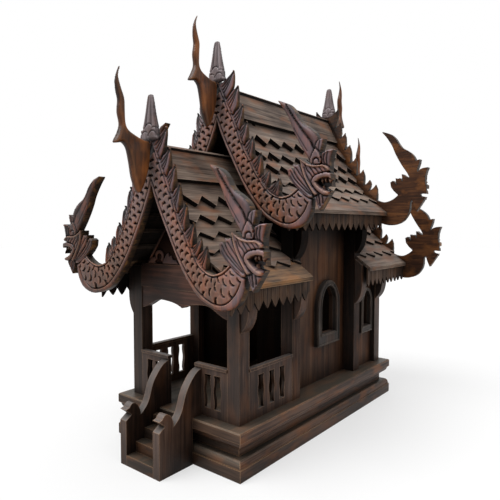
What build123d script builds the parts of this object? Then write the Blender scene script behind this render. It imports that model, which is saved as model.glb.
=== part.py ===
from build123d import *
import os
from math import atan2, cos, degrees, hypot, radians, sin

# Carved teak spirit house on a moulded base: an open front porch, a taller hall
# and a low rear wing, each under its own steep roof with naga bargeboards.
# Millimetres. The front faces -Y, +X is the house's right-hand side seen from
# the front, the floor it stands on is z = 0, and x = 0 is its plane of symmetry.

# Base
base_width = 300.0
base_length = 548.0
plinth_height = 20.0
ogee_height = 12.0
waist_height = 14.0
cornice_height = 14.0
slab_height = 17.0
ogee_inset = 9.0
waist_inset = 17.0
cornice_inset = 3.5
ogee_bottom = plinth_height
waist_bottom = ogee_bottom + ogee_height
cornice_bottom = waist_bottom + waist_height
slab_bottom = cornice_bottom + cornice_height
floor_level = slab_bottom + slab_height

# Posts: outer faces at half of post_span, square section
post_span = 260.0
post_size = 25.0
post_face = post_span / 2
post_inner = post_face - post_size
porch_post_front = -base_length / 2 + 21.5
hall_front_post_front = -0.1916 * base_length
hall_rear_post_front = 0.239 * base_length
wing_post_front = base_length / 2 - 40.0

# Roofs: ridge heights, then each half section as points (distance from the
# middle, fall from the ridge): ridge, shoulder, knee and eave
porch_ridge = 524.0
main_ridge = 650.0
low_roof = ((0, 0), (post_face - 45, 148.0), (post_face - 9, 190.5), (post_face + 33, 221.0))
high_roof = ((0, 0), (post_face - 88, 80.0), (post_face - 14, 195.5), (post_face + 28, 228.0))
roof_drop = 15.0
skirt_drop = 7.0
board_thickness = 18.0
porch_gable = porch_post_front - 68.5
main_front_gable = hall_front_post_front - 61.0
main_rear_gable = hall_rear_post_front + 118.0
wing_gable = wing_post_front + 117.0

# Walls
wall_thickness = 8.0
hall_wall_face = post_inner - 1.0
wing_wall_face = post_face - 10.0
hall_front_wall_y = hall_front_post_front + 15.0
hall_rear_wall_y = hall_rear_post_front + 9.0
wing_rear_wall_y = wing_post_front + 16.0
door_width = 76.0
door_height = 158.0

# Windows: round-headed openings with raised frames
hall_window_y = (hall_front_wall_y + hall_rear_wall_y) / 2 + 30.0
hall_window_width = 58.0
hall_window_sill = 172.0
hall_window_apex = 269.0
hall_frame_border = 15.0
hall_frame_sill_border = 23.0
wing_window_y = wing_post_front - 38.0
wing_window_width = 35.0
wing_window_sill = 167.0
wing_window_apex = 246.0
wing_frame_border = 9.0
wing_frame_sill_border = 14.0
frame_proud = 9.0

# Stair
stringer_outer = 48.0
stringer_thickness = 15.0
stair_front = -base_length / 2 - 71.0
step_count = 4
step_rise = 17.3
step_going = 19.0

# Balustrades
rail_top = floor_level + 86.0
rail_thickness = 6.0
rail_cap_height = 5.0
rail_cap_proud = 2.0
slot_bottom = floor_level + 15.0
slot_top = floor_level + 71.0
slot_half_widths = (7.6, 6.4, 8.4, 6.4, 7.6)
front_slot_pitch = 21.5
front_slot_shift = -4.0
side_slot_pitch = 30.0

# Lintel and side plates
lintel_thickness = 14.0
lintel_top = porch_ridge - 200.0
lintel_band_depth = 43.0
lintel_band_proud = 1.5
plate_height = 30.0
pediment_width = 184.0
pediment_height = 121.0
pediment_thickness = 6.0

# Eave fringes and brackets
fringe_thickness = 3.0
fringe_depth = 39.0
fringe_tooth = 14.0
low_fringe_x = post_face + 27.0
main_fringe_x = post_face + 20.0
low_fringe_pitch = 22.6
main_fringe_pitch = 24.0
fringe_end_gap = 8.0
bracket_setback = 3.0
bracket_reach = 16.5
low_bracket_height = 96.0
high_bracket_height = 104.0

# Gable finials
finial_thickness = 14.0
finial_height = 107.0
spire_height = 75.0
spire_thickness = 12.0


def box(x_low, x_high, y_low, y_high, z_low, z_high):
    size = (x_high - x_low, y_high - y_low, z_high - z_low)
    middle = ((x_low + x_high) / 2, (y_low + y_high) / 2, (z_low + z_high) / 2)
    return Pos(*middle) * Box(*size)


def both_sides(solid):
    """The solid and its mirror image on the other side of the house."""
    return Compound([solid, mirror(solid, about=Plane.YZ)])


def plate_xz(wire, y_front, thickness):
    """A board standing across the house: its outline is drawn in x and z."""
    face = Plane.XZ * Face(wire)
    return Pos(0, y_front, 0) * extrude(face, amount=thickness, dir=(0, 1, 0))


def plate_yz(wire, x_low, thickness):
    """A board standing along the house: its outline is drawn in y and z."""
    face = Plane.YZ * Face(wire)
    return Pos(x_low, 0, 0) * extrude(face, amount=thickness, dir=(1, 0, 0))


def closed(*edges):
    return Wire(list(edges))


def polygon(points):
    return Wire(Polyline(*points, close=True).edges())


def moulded_course(section):
    """A course of the base whose edge profile is mitred round all four sides.

    section is a list of (inset, z) from bottom to top.
    """
    def block(half_size, plane, half_length):
        side = [(half_size - inset, z) for inset, z in section]
        other = [(-u, z) for u, z in reversed(side)]
        face = plane * Face(polygon(side + other))
        return extrude(face, amount=half_length, both=True)

    across = block(base_width / 2, Plane.XZ, base_length / 2)
    along = block(base_length / 2, Plane.YZ, base_width / 2)
    return across & along


def lower_plinth():
    """Square plinth with a rounded step on its top edge."""
    section = [(1.0, 0), (0, 1.5), (0, plinth_height)]
    steps = 5
    for i in range(steps + 1):
        turn = radians(90) * i / steps
        section.append((1.5 + (ogee_inset - 1.5) * (1 - cos(turn)),
                        ogee_bottom + ogee_height * sin(turn)))
    return moulded_course(section)


def plinth_waist():
    return moulded_course([(waist_inset, waist_bottom), (waist_inset, cornice_bottom)])


def cornice():
    """Hollow moulding that carries the slab out over the waist."""
    section = [(waist_inset - 3, cornice_bottom)]
    steps = 5
    for i in range(steps + 1):
        turn = radians(90) * i / steps
        section.append((cornice_inset + (waist_inset - 5 - cornice_inset) * (1 - sin(turn)),
                        slab_bottom - (cornice_height - 3) * cos(turn)))
    return moulded_course(section)


def platform_slab():
    section = [(1.0, slab_bottom), (0, slab_bottom + 1.5), (0, floor_level - 2), (1.5, floor_level)]
    return moulded_course(section)


def posts(y_front, top):
    return both_sides(box(post_inner, post_face, y_front, y_front + post_size, floor_level, top))


def roof_height(section, ridge, x):
    """Height of a roof's outer surface x away from the ridge line."""
    for (x0, fall0), (x1, fall1) in zip(section, section[1:]):
        if x <= x1:
            break
    return ridge - fall0 - (fall1 - fall0) * (x - x0) / (x1 - x0)


def roof_board(points, ridge, drop, y_low, y_high):
    outer = [(x, ridge - fall) for x, fall in points]
    inner = [(x, z - drop) for x, z in reversed(outer)]
    return plate_xz(polygon(outer + inner), y_low, y_high - y_low)


def roof_slope(section, ridge, y_low, y_high):
    """Right-hand slope from the ridge over the shoulder to the knee."""
    return roof_board(section[:3], ridge, roof_drop, y_low, y_high)


def roof_skirt(section, ridge, y_low, y_high):
    """Right-hand plain eave board below the knee."""
    return roof_board(section[2:], ridge, skirt_drop, y_low, y_high)


def notch_for_posts(piece, y_front):
    return piece - box(post_inner, post_face, y_front, y_front + post_size, floor_level, main_ridge)


def fringe(x, ridge, section, pitch, y_low, y_high):
    """Right-hand hanging fringe: a thin board with a row of pointed tips."""
    top = roof_height(section, ridge, x) - skirt_drop
    tip = top - fringe_depth
    teeth = round((y_high - y_low) / pitch)
    step = (y_high - y_low) / teeth
    points = [(y_high, top), (y_low, top)]
    for i in range(teeth):
        points.append((y_low + i * step, tip + fringe_tooth))
        points.append((y_low + (i + 0.5) * step, tip))
    points.append((y_high, tip + fringe_tooth))
    return plate_yz(polygon(points), x - fringe_thickness, fringe_thickness)


def bracket(post_front, section, ridge, height):
    """Right-hand bracket on a post's outer face, its edge swelling outward up to the eave board."""
    outer_x = post_face + bracket_reach
    top_in = roof_height(section, ridge, post_face) - skirt_drop
    top_out = roof_height(section, ridge, outer_x) - skirt_drop
    foot = top_in - height
    edge = Spline((outer_x, top_out), (outer_x, foot + 0.45 * height),
                  (outer_x - 1.5, foot + 0.28 * height), (outer_x - 6, foot + 0.14 * height),
                  (post_face, foot))
    wire = closed(Line((post_face, foot), (post_face, top_in)),
                  Line((post_face, top_in), (outer_x, top_out)), edge)
    return plate_xz(wire, post_front + bracket_setback, post_size - bracket_setback)


def arch_wire(middle, width, sill, apex):
    """Outline of an opening under a tall round head, half an ellipse, in y and z."""
    low = middle - width / 2
    high = middle + width / 2
    rise = width * 0.64
    spring = apex - rise
    angles = [radians(180 - 30 * i) for i in range(7)]
    head = Spline(*[(middle + width / 2 * cos(a), spring + rise * sin(a)) for a in angles],
                  tangents=[(0, 1), (0, -1)])
    return closed(Line((low, sill), (low, spring)), head, Line((high, spring), (high, sill)),
                  Line((high, sill), (low, sill)))


def window_cutter(face_x, middle, width, sill, apex):
    reach = wall_thickness + frame_proud
    return plate_yz(arch_wire(middle, width, sill, apex), face_x - wall_thickness - reach, 3 * reach)


def window_frame(face_x, middle, width, sill, apex, border, sill_border):
    """Right-hand raised frame round a window, wider below the sill."""
    outer = arch_wire(middle, width + 2 * border, sill - sill_border, apex + border * 0.75)
    frame = plate_yz(outer, face_x, frame_proud)
    return frame - window_cutter(face_x, middle, width, sill, apex)


def hall_window(maker, *extra):
    return maker(hall_wall_face, hall_window_y, hall_window_width, hall_window_sill,
                 hall_window_apex, *extra)


def wing_window(maker, *extra):
    return maker(wing_wall_face, wing_window_y, wing_window_width, wing_window_sill,
                 wing_window_apex, *extra)


def hall_wall():
    top = roof_height(high_roof, main_ridge, hall_wall_face) - roof_drop
    wall = box(hall_wall_face - wall_thickness, hall_wall_face,
               hall_front_wall_y + wall_thickness, hall_rear_wall_y - wall_thickness,
               floor_level, top)
    return wall - hall_window(window_cutter)


def gable_board(section, ridge, y_front, half_width, bottom):
    """Wall that runs up to the underside of a roof."""
    under = ridge - roof_drop
    shoulder, shoulder_fall = section[1]
    right = [(shoulder, under - shoulder_fall),
             (half_width, roof_height(section, ridge, half_width) - roof_drop)]
    left = [(-x, z) for x, z in reversed(right)]
    points = [(-half_width, bottom)] + left + [(0, under)] + right + [(half_width, bottom)]
    return plate_xz(polygon(points), y_front, wall_thickness)


def hall_front_gable():
    bottom = floor_level + door_height
    return gable_board(high_roof, main_ridge, hall_front_wall_y, post_inner, bottom)


def hall_front_wall():
    return box(door_width / 2, post_inner, hall_front_wall_y, hall_front_wall_y + wall_thickness,
               floor_level, floor_level + door_height)


def hall_rear_wall():
    return gable_board(high_roof, main_ridge, hall_rear_wall_y - wall_thickness, post_inner, floor_level)


def wing_wall():
    top = roof_height(low_roof, porch_ridge, wing_wall_face) - roof_drop
    wall = box(wing_wall_face - wall_thickness, wing_wall_face,
               hall_rear_post_front + post_size, wing_post_front, floor_level, top)
    return wall - wing_window(window_cutter)


def wing_rear_wall():
    return gable_board(low_roof, porch_ridge, wing_rear_wall_y - wall_thickness, post_inner, floor_level)


# Upper edge of a stair side, as (y from its front edge, z): the scrolled knob,
# its round top, and the sweep that climbs to the porch rail
knob = [(0, 74), (12, 82), (0, 92), (7, 94)]
knob_top = [(7, 94), (16, 100), (25, 93), (29, 76)]
stair_sweep = [(29, 76), (37, 82), (46, 93), (56, 120), (68.5, 139), (85, 153)]


def stringer():
    """Right-hand stair side with a scrolled knob in front and a swept top."""
    def place(points):
        return [(stair_front + y, z) for y, z in points]

    step_back = -base_length / 2
    last = (porch_post_front, rail_top - 8)
    foot = closed(
        Line((step_back, 0), (stair_front, 0)),
        Line((stair_front, 0), place(knob)[0]),
        *Polyline(*place(knob)).edges(),
        Spline(*place(knob_top)),
        Spline(*place(stair_sweep), last),
        Line(last, (porch_post_front, floor_level)),
        Line((porch_post_front, floor_level), (step_back, floor_level)),
        Line((step_back, floor_level), (step_back, 0)),
    )
    return plate_yz(foot, stringer_outer - stringer_thickness, stringer_thickness)


def stair_steps():
    """One flight of closed block steps between the stringers."""
    inner = stringer_outer - stringer_thickness
    back = -base_length / 2
    points = [(back, 0), (stair_front, 0)]
    for i in range(step_count):
        front = stair_front + i * step_going
        points.append((front, (i + 1) * step_rise))
        next_front = back if i == step_count - 1 else front + step_going
        points.append((next_front, (i + 1) * step_rise))
    return plate_yz(polygon(points), -inner, 2 * inner)


def slot_wire(middle):
    """Outline of the gap between two turned-looking balusters."""
    count = len(slot_half_widths) - 1
    levels = [slot_bottom + (slot_top - slot_bottom) * i / count for i in range(count + 1)]
    right = [(middle + w, z) for w, z in zip(slot_half_widths, levels)]
    left = [(middle - w, z) for w, z in zip(slot_half_widths, levels)]
    return closed(Spline(*right), Line(right[-1], left[-1]), Spline(*reversed(left)),
                  Line(left[0], right[0]))


def front_balustrade():
    inner = stringer_outer - stringer_thickness
    y_low = porch_post_front
    y_high = y_low + rail_thickness
    panel = box(inner, post_inner, y_low, y_high, floor_level, rail_top - rail_cap_height)
    middle = (stringer_outer + post_inner) / 2 + front_slot_shift
    for i in (-0.5, 0.5):
        panel -= plate_xz(slot_wire(middle + i * front_slot_pitch), y_low - 1, rail_thickness + 2)
    cap = box(inner, post_inner, y_low - rail_cap_proud, y_high + rail_cap_proud,
              rail_top - rail_cap_height, rail_top)
    return panel + cap


def side_balustrade():
    y_low = porch_post_front + post_size
    y_high = hall_front_post_front
    x_high = post_face - 0.5
    x_low = x_high - rail_thickness
    panel = box(x_low, x_high, y_low, y_high, floor_level, rail_top - rail_cap_height)
    middle = (y_low + y_high) / 2
    for i in (-1, 0, 1):
        panel -= plate_yz(slot_wire(middle + i * side_slot_pitch), x_low - 1, rail_thickness + 2)
    cap = box(x_low - rail_cap_proud, x_high + rail_cap_proud, y_low, y_high,
              rail_top - rail_cap_height, rail_top)
    return panel + cap


# Lower edge of the lintel on the right: depth below its top, from the middle out
lintel_cusp = 73.5
lintel_edge = [(12.5, 68.3), (39, 64), (66, 65.3), (81, 72.5)]
lintel_end_depth = 82.0


def front_lintel():
    """Lintel between the front posts, its lower edge cusped in the middle."""
    end = lintel_top - lintel_end_depth
    right = [(x, lintel_top - depth) for x, depth in lintel_edge] + [(post_inner, end)]
    left = [(-x, z) for x, z in reversed(right)]
    cusp = (0, lintel_top - lintel_cusp)
    wire = closed(
        Spline(*left, cusp),
        Spline(cusp, *right),
        Line((post_inner, end), (post_inner, lintel_top)),
        Line((post_inner, lintel_top), (-post_inner, lintel_top)),
        Line((-post_inner, lintel_top), (-post_inner, end)),
    )
    board = plate_xz(wire, porch_post_front + lintel_band_proud, lintel_thickness)
    band = box(-post_inner, post_inner, porch_post_front, porch_post_front + lintel_thickness,
               lintel_top - lintel_band_depth, lintel_top)
    return board + band


def porch_pediment():
    """Thin triangular panel standing on the lintel, inside the open gable."""
    points = [(-pediment_width / 2, lintel_top), (pediment_width / 2, lintel_top),
              (0, lintel_top + pediment_height)]
    y_front = porch_post_front + (lintel_thickness - pediment_thickness) / 2
    return plate_xz(polygon(points), y_front, pediment_thickness)


def post_top(section, ridge):
    """Highest level that clears both the eave board and the lower edge of the slope."""
    under_eave = roof_height(section, ridge, post_face) - skirt_drop
    knee_fall = section[2][1]
    return min(under_eave, ridge - knee_fall - roof_drop)


def side_plate():
    top = post_top(low_roof, porch_ridge)
    return box(post_inner, post_face, porch_post_front + post_size, hall_front_post_front,
               top - plate_height, top)


def fin_points(spine, heights):
    """Flame-shaped fins standing on the upper edge of a naga's back."""
    points = []
    for (a, b), height in zip(zip(spine, spine[1:]), heights):
        along = (b[0] - a[0], b[1] - a[1])
        length = hypot(*along)
        out = (-along[1] / length, along[0] / length)
        points.append(a)
        points.append((a[0] + 0.10 * along[0] + height * out[0],
                       a[1] + 0.10 * along[1] + height * out[1]))
    points.append(spine[-1])
    return points


# Naga outline on the right-hand side: distance from the middle, height above the ridge
naga_under_edge = [(0, -64), (8, -88), (36, -142), (71, -197), (104, -232), (130, -246.5),
                   (160, -254), (187, -246), (202, -226), (205, -203)]
naga_jaw = [(205, -203), (210, -202), (213, -210), (219, -223), (227, -211), (238, -194),
            (226, -192), (219.5, -188.5), (221, -184), (238, -187), (239.5, -176), (237, -160),
            (237, -148), (243, -129), (230, -131), (217, -134), (224.5, -111), (213, -116)]
naga_crest_outer = [(213, -116), (206, -103), (186, -88), (172, -68), (158, -53), (137, -44)]
naga_crest_inner = [(137, -44), (152, -72), (164, -102), (182, -128), (200, -146)]
naga_cheek = [(200, -146), (184, -142), (183, -152), (171, -149), (170, -157), (159, -158)]
naga_neck = [(159, -158), (161, -176), (154, -194), (143, -186), (134, -166)]
naga_back = [(134, -166), (123, -184), (109, -176), (95, -152), (80, -122), (66, -92),
             (54, -62), (42, -32), (29, -6)]
naga_fin_heights = (20, 20, 20, 20, 19, 18, 16)
naga_tail = [(0, -64), (0, 4), (18, 10), (31, 26), (29, -6)]
naga_spread = post_span / 260.0


def ramp(value, start, end):
    """Rises evenly from 0 at start to 1 at end, and stays there."""
    return min(max((value - start) / (end - start), 0), 1)


def naga(gable_front, ridge, droop, reach, stretch_from):
    """Right-hand bargeboard: a naga whose tail is at the ridge and whose head rears at the eave.

    Each is carved by hand: droop is how much lower its head hangs than the outline's,
    and reach is how much further out it stands, growing from stretch_from over 110 mm.
    """
    def lift(points):
        return [((x + reach * ramp(x, stretch_from, stretch_from + 110)) * naga_spread,
                 v + ridge - droop * ramp(x, 40, 200)) for x, v in points]

    under = lift(naga_under_edge)
    back = list(reversed(naga_back))[:len(naga_fin_heights) + 1]
    spine = list(reversed(lift(fin_points(back, naga_fin_heights))))
    tail = lift(naga_tail)
    neck = lift(naga_neck)
    edges = [
        Spline(*under),
        *Polyline(*lift(naga_jaw)).edges(),
        Spline(*lift(naga_crest_outer)),
        Spline(*lift(naga_crest_inner)),
        *Polyline(*lift(naga_cheek)).edges(),
        Spline(*neck),
        *Polyline(neck[-1], *spine).edges(),
        *Polyline(*reversed(tail)).edges(),
    ]
    return plate_xz(Wire(edges), gable_front, board_thickness)


# Right-hand edge of the spire between the tails: distance from the middle, height above the ridge
spire_edge = [(18, 10), (17.5, 22), (13.5, 41), (9.5, 58), (4.5, 74)]


def spire(face, ridge, outward):
    """Tapering finial over the apex, between the two tails, flush with their carved faces."""
    right = [(x, ridge + v) for x, v in spire_edge]
    left = [(-x, z) for x, z in reversed(right)]
    tip = (0, ridge + spire_height)
    heel = (0, ridge + 4)
    wire = closed(Spline(*right), Line(right[-1], tip), Line(tip, left[0]), Spline(*left),
                  Line(left[-1], heel), Line(heel, right[0]))
    return plate_xz(wire, min(face, face - outward * spire_thickness), spire_thickness)


# Finial seen from the side: distance outward from the gable, height above the ridge
finial_tip = (52, finial_height)
horn_front = [finial_tip, (60, 92), (61, 72), (56, 56), (57, 38), (53, 18)]
finial_beak = [(53, 18), (59, 4), (65, -8), (50, -7)]
finial_throat = [(50, -7), (40, -17), (36, -38), (32, -62), (22, -81)]
finial_tail = [(22, -81), (12, -70), (4, -48), (0, -30)]
finial_top = [(0, -30), (0, -2), (28, 7), (45, 17)]
horn_back = [(45, 17), (46, 40), (46, 58), (54, 76), (57, 92), finial_tip]

# Half thickness of the finial against height above the ridge
finial_taper = [(finial_thickness / 2, -90), (finial_thickness / 2, 2), (4.5, 18), (4.2, 60),
                (0.8, finial_height + 1)]


def finial(face, ridge, outward, pull):
    """Tall horned finial in front of the apex.

    pull sets how far the tip of the horn leans back towards the gable.
    """
    def place(points):
        placed = []
        for u, v in points:
            lean = pull * max(v, 0) / finial_height
            placed.append((face + outward * (u - lean), ridge + v))
        return placed

    wire = closed(Spline(*place(horn_front)), *Polyline(*place(finial_beak)).edges(),
                  Spline(*place(finial_throat)), Spline(*place(finial_tail)),
                  *Polyline(*place(finial_top)).edges(), Spline(*place(horn_back)))
    body = plate_yz(wire, -finial_thickness / 2, finial_thickness)
    right = [(x, ridge + v) for x, v in finial_taper]
    left = [(-x, z) for x, z in reversed(right)]
    reach = 80
    far = face + outward * reach
    return body & plate_xz(polygon(right + left), min(far, face), reach)


os.makedirs("parts", exist_ok=True)


def save(name, shape):
    export_step(shape, "parts/" + name + ".step")


def left_right(name, solid):
    save(name + "_right", solid)
    save(name + "_left", mirror(solid, about=Plane.YZ))


save("lower_plinth", lower_plinth())
save("plinth_waist", plinth_waist())
save("base_cornice", cornice())
save("platform_slab", platform_slab())
save("stair_stringers", both_sides(stringer()))
save("stair_steps", stair_steps())

low_post_top = post_top(low_roof, porch_ridge)
high_post_top = post_top(high_roof, main_ridge)
save("porch_posts", posts(porch_post_front, low_post_top))
save("hall_front_posts", posts(hall_front_post_front, high_post_top))
save("hall_rear_posts", posts(hall_rear_post_front, high_post_top))
save("wing_posts", posts(wing_post_front, low_post_top))

save("front_balustrades", both_sides(front_balustrade()))
save("side_balustrades", both_sides(side_balustrade()))
save("front_lintel", front_lintel())
save("porch_pediment", porch_pediment())
save("porch_side_plates", both_sides(side_plate()))

left_right("hall_wall", hall_wall())
save("hall_front_walls", both_sides(hall_front_wall()))
save("hall_front_gable", hall_front_gable())
save("hall_rear_wall", hall_rear_wall())
left_right("wing_wall", wing_wall())
save("wing_rear_wall", wing_rear_wall())
save("hall_window_frames",
     both_sides(hall_window(window_frame, hall_frame_border, hall_frame_sill_border)))
save("wing_window_frames",
     both_sides(wing_window(window_frame, wing_frame_border, wing_frame_sill_border)))

porch_roof_front = porch_gable + board_thickness
wing_roof_back = wing_gable - board_thickness
main_roof_front = main_front_gable + board_thickness
main_roof_back = main_rear_gable - board_thickness

porch_slope = roof_slope(low_roof, porch_ridge, porch_roof_front, hall_front_wall_y)
porch_skirt = roof_skirt(low_roof, porch_ridge, porch_roof_front, hall_front_wall_y)
wing_slope = roof_slope(low_roof, porch_ridge, hall_rear_wall_y, wing_roof_back)
wing_skirt = roof_skirt(low_roof, porch_ridge, hall_rear_wall_y, wing_roof_back)
left_right("porch_roof", notch_for_posts(porch_slope, hall_front_post_front))
left_right("main_roof", roof_slope(high_roof, main_ridge, main_roof_front, main_roof_back))
left_right("wing_roof", notch_for_posts(wing_slope, hall_rear_post_front))
save("porch_skirts", both_sides(notch_for_posts(porch_skirt, hall_front_post_front)))
save("main_skirts", both_sides(roof_skirt(high_roof, main_ridge, main_roof_front, main_roof_back)))
save("wing_skirts", both_sides(notch_for_posts(wing_skirt, hall_rear_post_front)))

save("porch_fringes", both_sides(fringe(low_fringe_x, porch_ridge, low_roof, low_fringe_pitch,
                                        porch_roof_front, hall_front_wall_y)))
save("main_fringes", both_sides(fringe(main_fringe_x, main_ridge, high_roof, main_fringe_pitch,
                                       main_roof_front, main_roof_back - fringe_end_gap)))
save("wing_fringes", both_sides(fringe(low_fringe_x, porch_ridge, low_roof, low_fringe_pitch,
                                       hall_rear_wall_y, wing_roof_back)))

low_brackets = [bracket(front, low_roof, porch_ridge, low_bracket_height)
                for front in (porch_post_front, hall_front_post_front, hall_rear_post_front,
                              wing_post_front)]
high_brackets = [bracket(front, high_roof, main_ridge, high_bracket_height)
                 for front in (hall_front_post_front, hall_rear_post_front)]
save("low_eave_brackets", both_sides(Compound(low_brackets)))
save("main_eave_brackets", both_sides(Compound(high_brackets)))

# Each gable: inner or front face of its boards, outer face, ridge, outward direction, horn lean,
# how much lower its nagas' heads hang, and how much further out the right and the left one
# reach, each with where its stretch begins
gables = {
    "porch": (porch_gable, porch_gable, porch_ridge, -1, 0, 0, (-12, 40), (16, 130)),
    "main_front": (main_front_gable, main_front_gable, main_ridge, -1, 9, 12, (-2, 40), (0, 40)),
    "main_rear": (main_rear_gable - board_thickness, main_rear_gable, main_ridge, 1, 9, 0,
                  (6, 40), (6, 40)),
    "wing": (wing_gable - board_thickness, wing_gable, porch_ridge, 1, 4, 0, (2, 40), (2, 40)),
}
for name, (low_face, face, ridge, outward, pull, droop, right, left) in gables.items():
    save(name + "_naga_right", naga(low_face, ridge, droop, *right))
    save(name + "_naga_left", mirror(naga(low_face, ridge, droop, *left), about=Plane.YZ))
    save(name + "_finial", finial(face, ridge, outward, pull))
save("gable_spires", Compound([spire(face, ridge, outward)
                               for _, face, ridge, outward, *_ in gables.values()]))
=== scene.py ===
import bpy
import numpy as np
from functools import partial
from math import radians
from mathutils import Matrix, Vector
from types import SimpleNamespace


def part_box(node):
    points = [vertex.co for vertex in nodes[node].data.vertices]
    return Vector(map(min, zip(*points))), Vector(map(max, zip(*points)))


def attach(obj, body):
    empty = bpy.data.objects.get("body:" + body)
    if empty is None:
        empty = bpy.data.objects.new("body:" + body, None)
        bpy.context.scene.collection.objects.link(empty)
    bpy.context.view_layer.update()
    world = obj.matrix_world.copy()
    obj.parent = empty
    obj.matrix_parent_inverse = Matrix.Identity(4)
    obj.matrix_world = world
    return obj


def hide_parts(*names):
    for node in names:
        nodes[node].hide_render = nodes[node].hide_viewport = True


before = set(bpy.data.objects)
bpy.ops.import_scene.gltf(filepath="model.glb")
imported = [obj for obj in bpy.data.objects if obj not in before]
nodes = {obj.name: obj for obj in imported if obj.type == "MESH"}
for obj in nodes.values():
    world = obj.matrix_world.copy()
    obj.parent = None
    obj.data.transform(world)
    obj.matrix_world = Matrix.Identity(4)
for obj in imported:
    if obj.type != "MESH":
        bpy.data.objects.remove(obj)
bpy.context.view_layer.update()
mm = 0.001
rng = np.random.default_rng(7)
print("frame loaded", len(nodes), "nodes")


# Colours and materials

def hexColour(text):
    # sRGB hex to the linear colour that a shader socket takes
    srgb = np.array([int(text[i:i + 2], 16) for i in (1, 3, 5)]) / 255
    linear = np.where(srgb <= 0.04045, srgb / 12.92, ((srgb + 0.055) / 1.055) ** 2.4)
    return (*linear.tolist(), 1.0)


def addNode(tree, kind, inputs=(), **settings):
    # a shader node with its settings; each socket, in order or by key, is given a value or is
    # joined to a socket or to the first output of another node
    node = tree.nodes.new("ShaderNode" + kind)
    for key, value in settings.items():
        setattr(node, key, value)
    for key, value in inputs.items() if isinstance(inputs, dict) else enumerate(inputs):
        value = value.outputs[0] if isinstance(value, bpy.types.Node) else value
        if isinstance(value, bpy.types.NodeSocket):
            tree.links.new(value, node.inputs[key])
        else:
            node.inputs[key].default_value = value
    return node


def colourSteps(node, steps):
    # sets a colour ramp from (place, hex colour) pairs
    ramp = node.color_ramp
    while len(ramp.elements) < len(steps):
        ramp.elements.new(1.0)
    for element, (place, colour) in zip(ramp.elements, steps):
        element.position = place
        element.color = hexColour(colour)


# What all the finishes share. A range is the pair of values between which an effect sets in.
woodLook = {
    "frontFrom": 0.7,       # share of a normal along y from which a face is a front or a back
    "fibres": {"Scale": 1.0, "Detail": 3.0, "Roughness": 0.65, "Distortion": 0.3},
    "bands": {"Scale": 0.21, "Detail": 2.0, "Roughness": 0.5, "Distortion": 0.8},
    "bandShare": 0.55,      # growth bands against fibres
    "cloudShare": 0.35,     # broad blotches against both
    "stainSteps": (0.4, 0.5, 0.61),
    "patchStretch": (0.9, 0.09, 0.09),
    "patchRange": (0.5, 0.68),
    "dustSheenFacing": (-0.3, -0.45, 0.84),
    "leftSheenShare": 0.33,       # dust and painted sheen left on the shaded left side
    "middleReach": 250,       # mm from the middle of the house that the next steps divide
    "middleSteps": [(0.12, "#ffffff"), (0.36, "#7c7c7c"), (0.56, "#7c7c7c"), (0.72, "#f4f4f4")],
    "crestRange": (0.5, 1.0),
    "cutRange": (0.42, 0.05),
    "cutShare": 0.92,       # how far grime and painted shade hide the wood in a cut
    "edgeRange": (0.995, 0.86),
    "patchyRange": (0.35, 0.62),
    "patchyLeast": 0.25,    # wear left on an edge where hands seldom reach
    "cornerRange": (0.3, 0.88),
    "inwardRange": (0.0, -0.06),
    "levelRange": (-0.35, -0.1),
    "glossRange": (0.3, 0.7),
    "poreDepth": 0.4,
}


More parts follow.
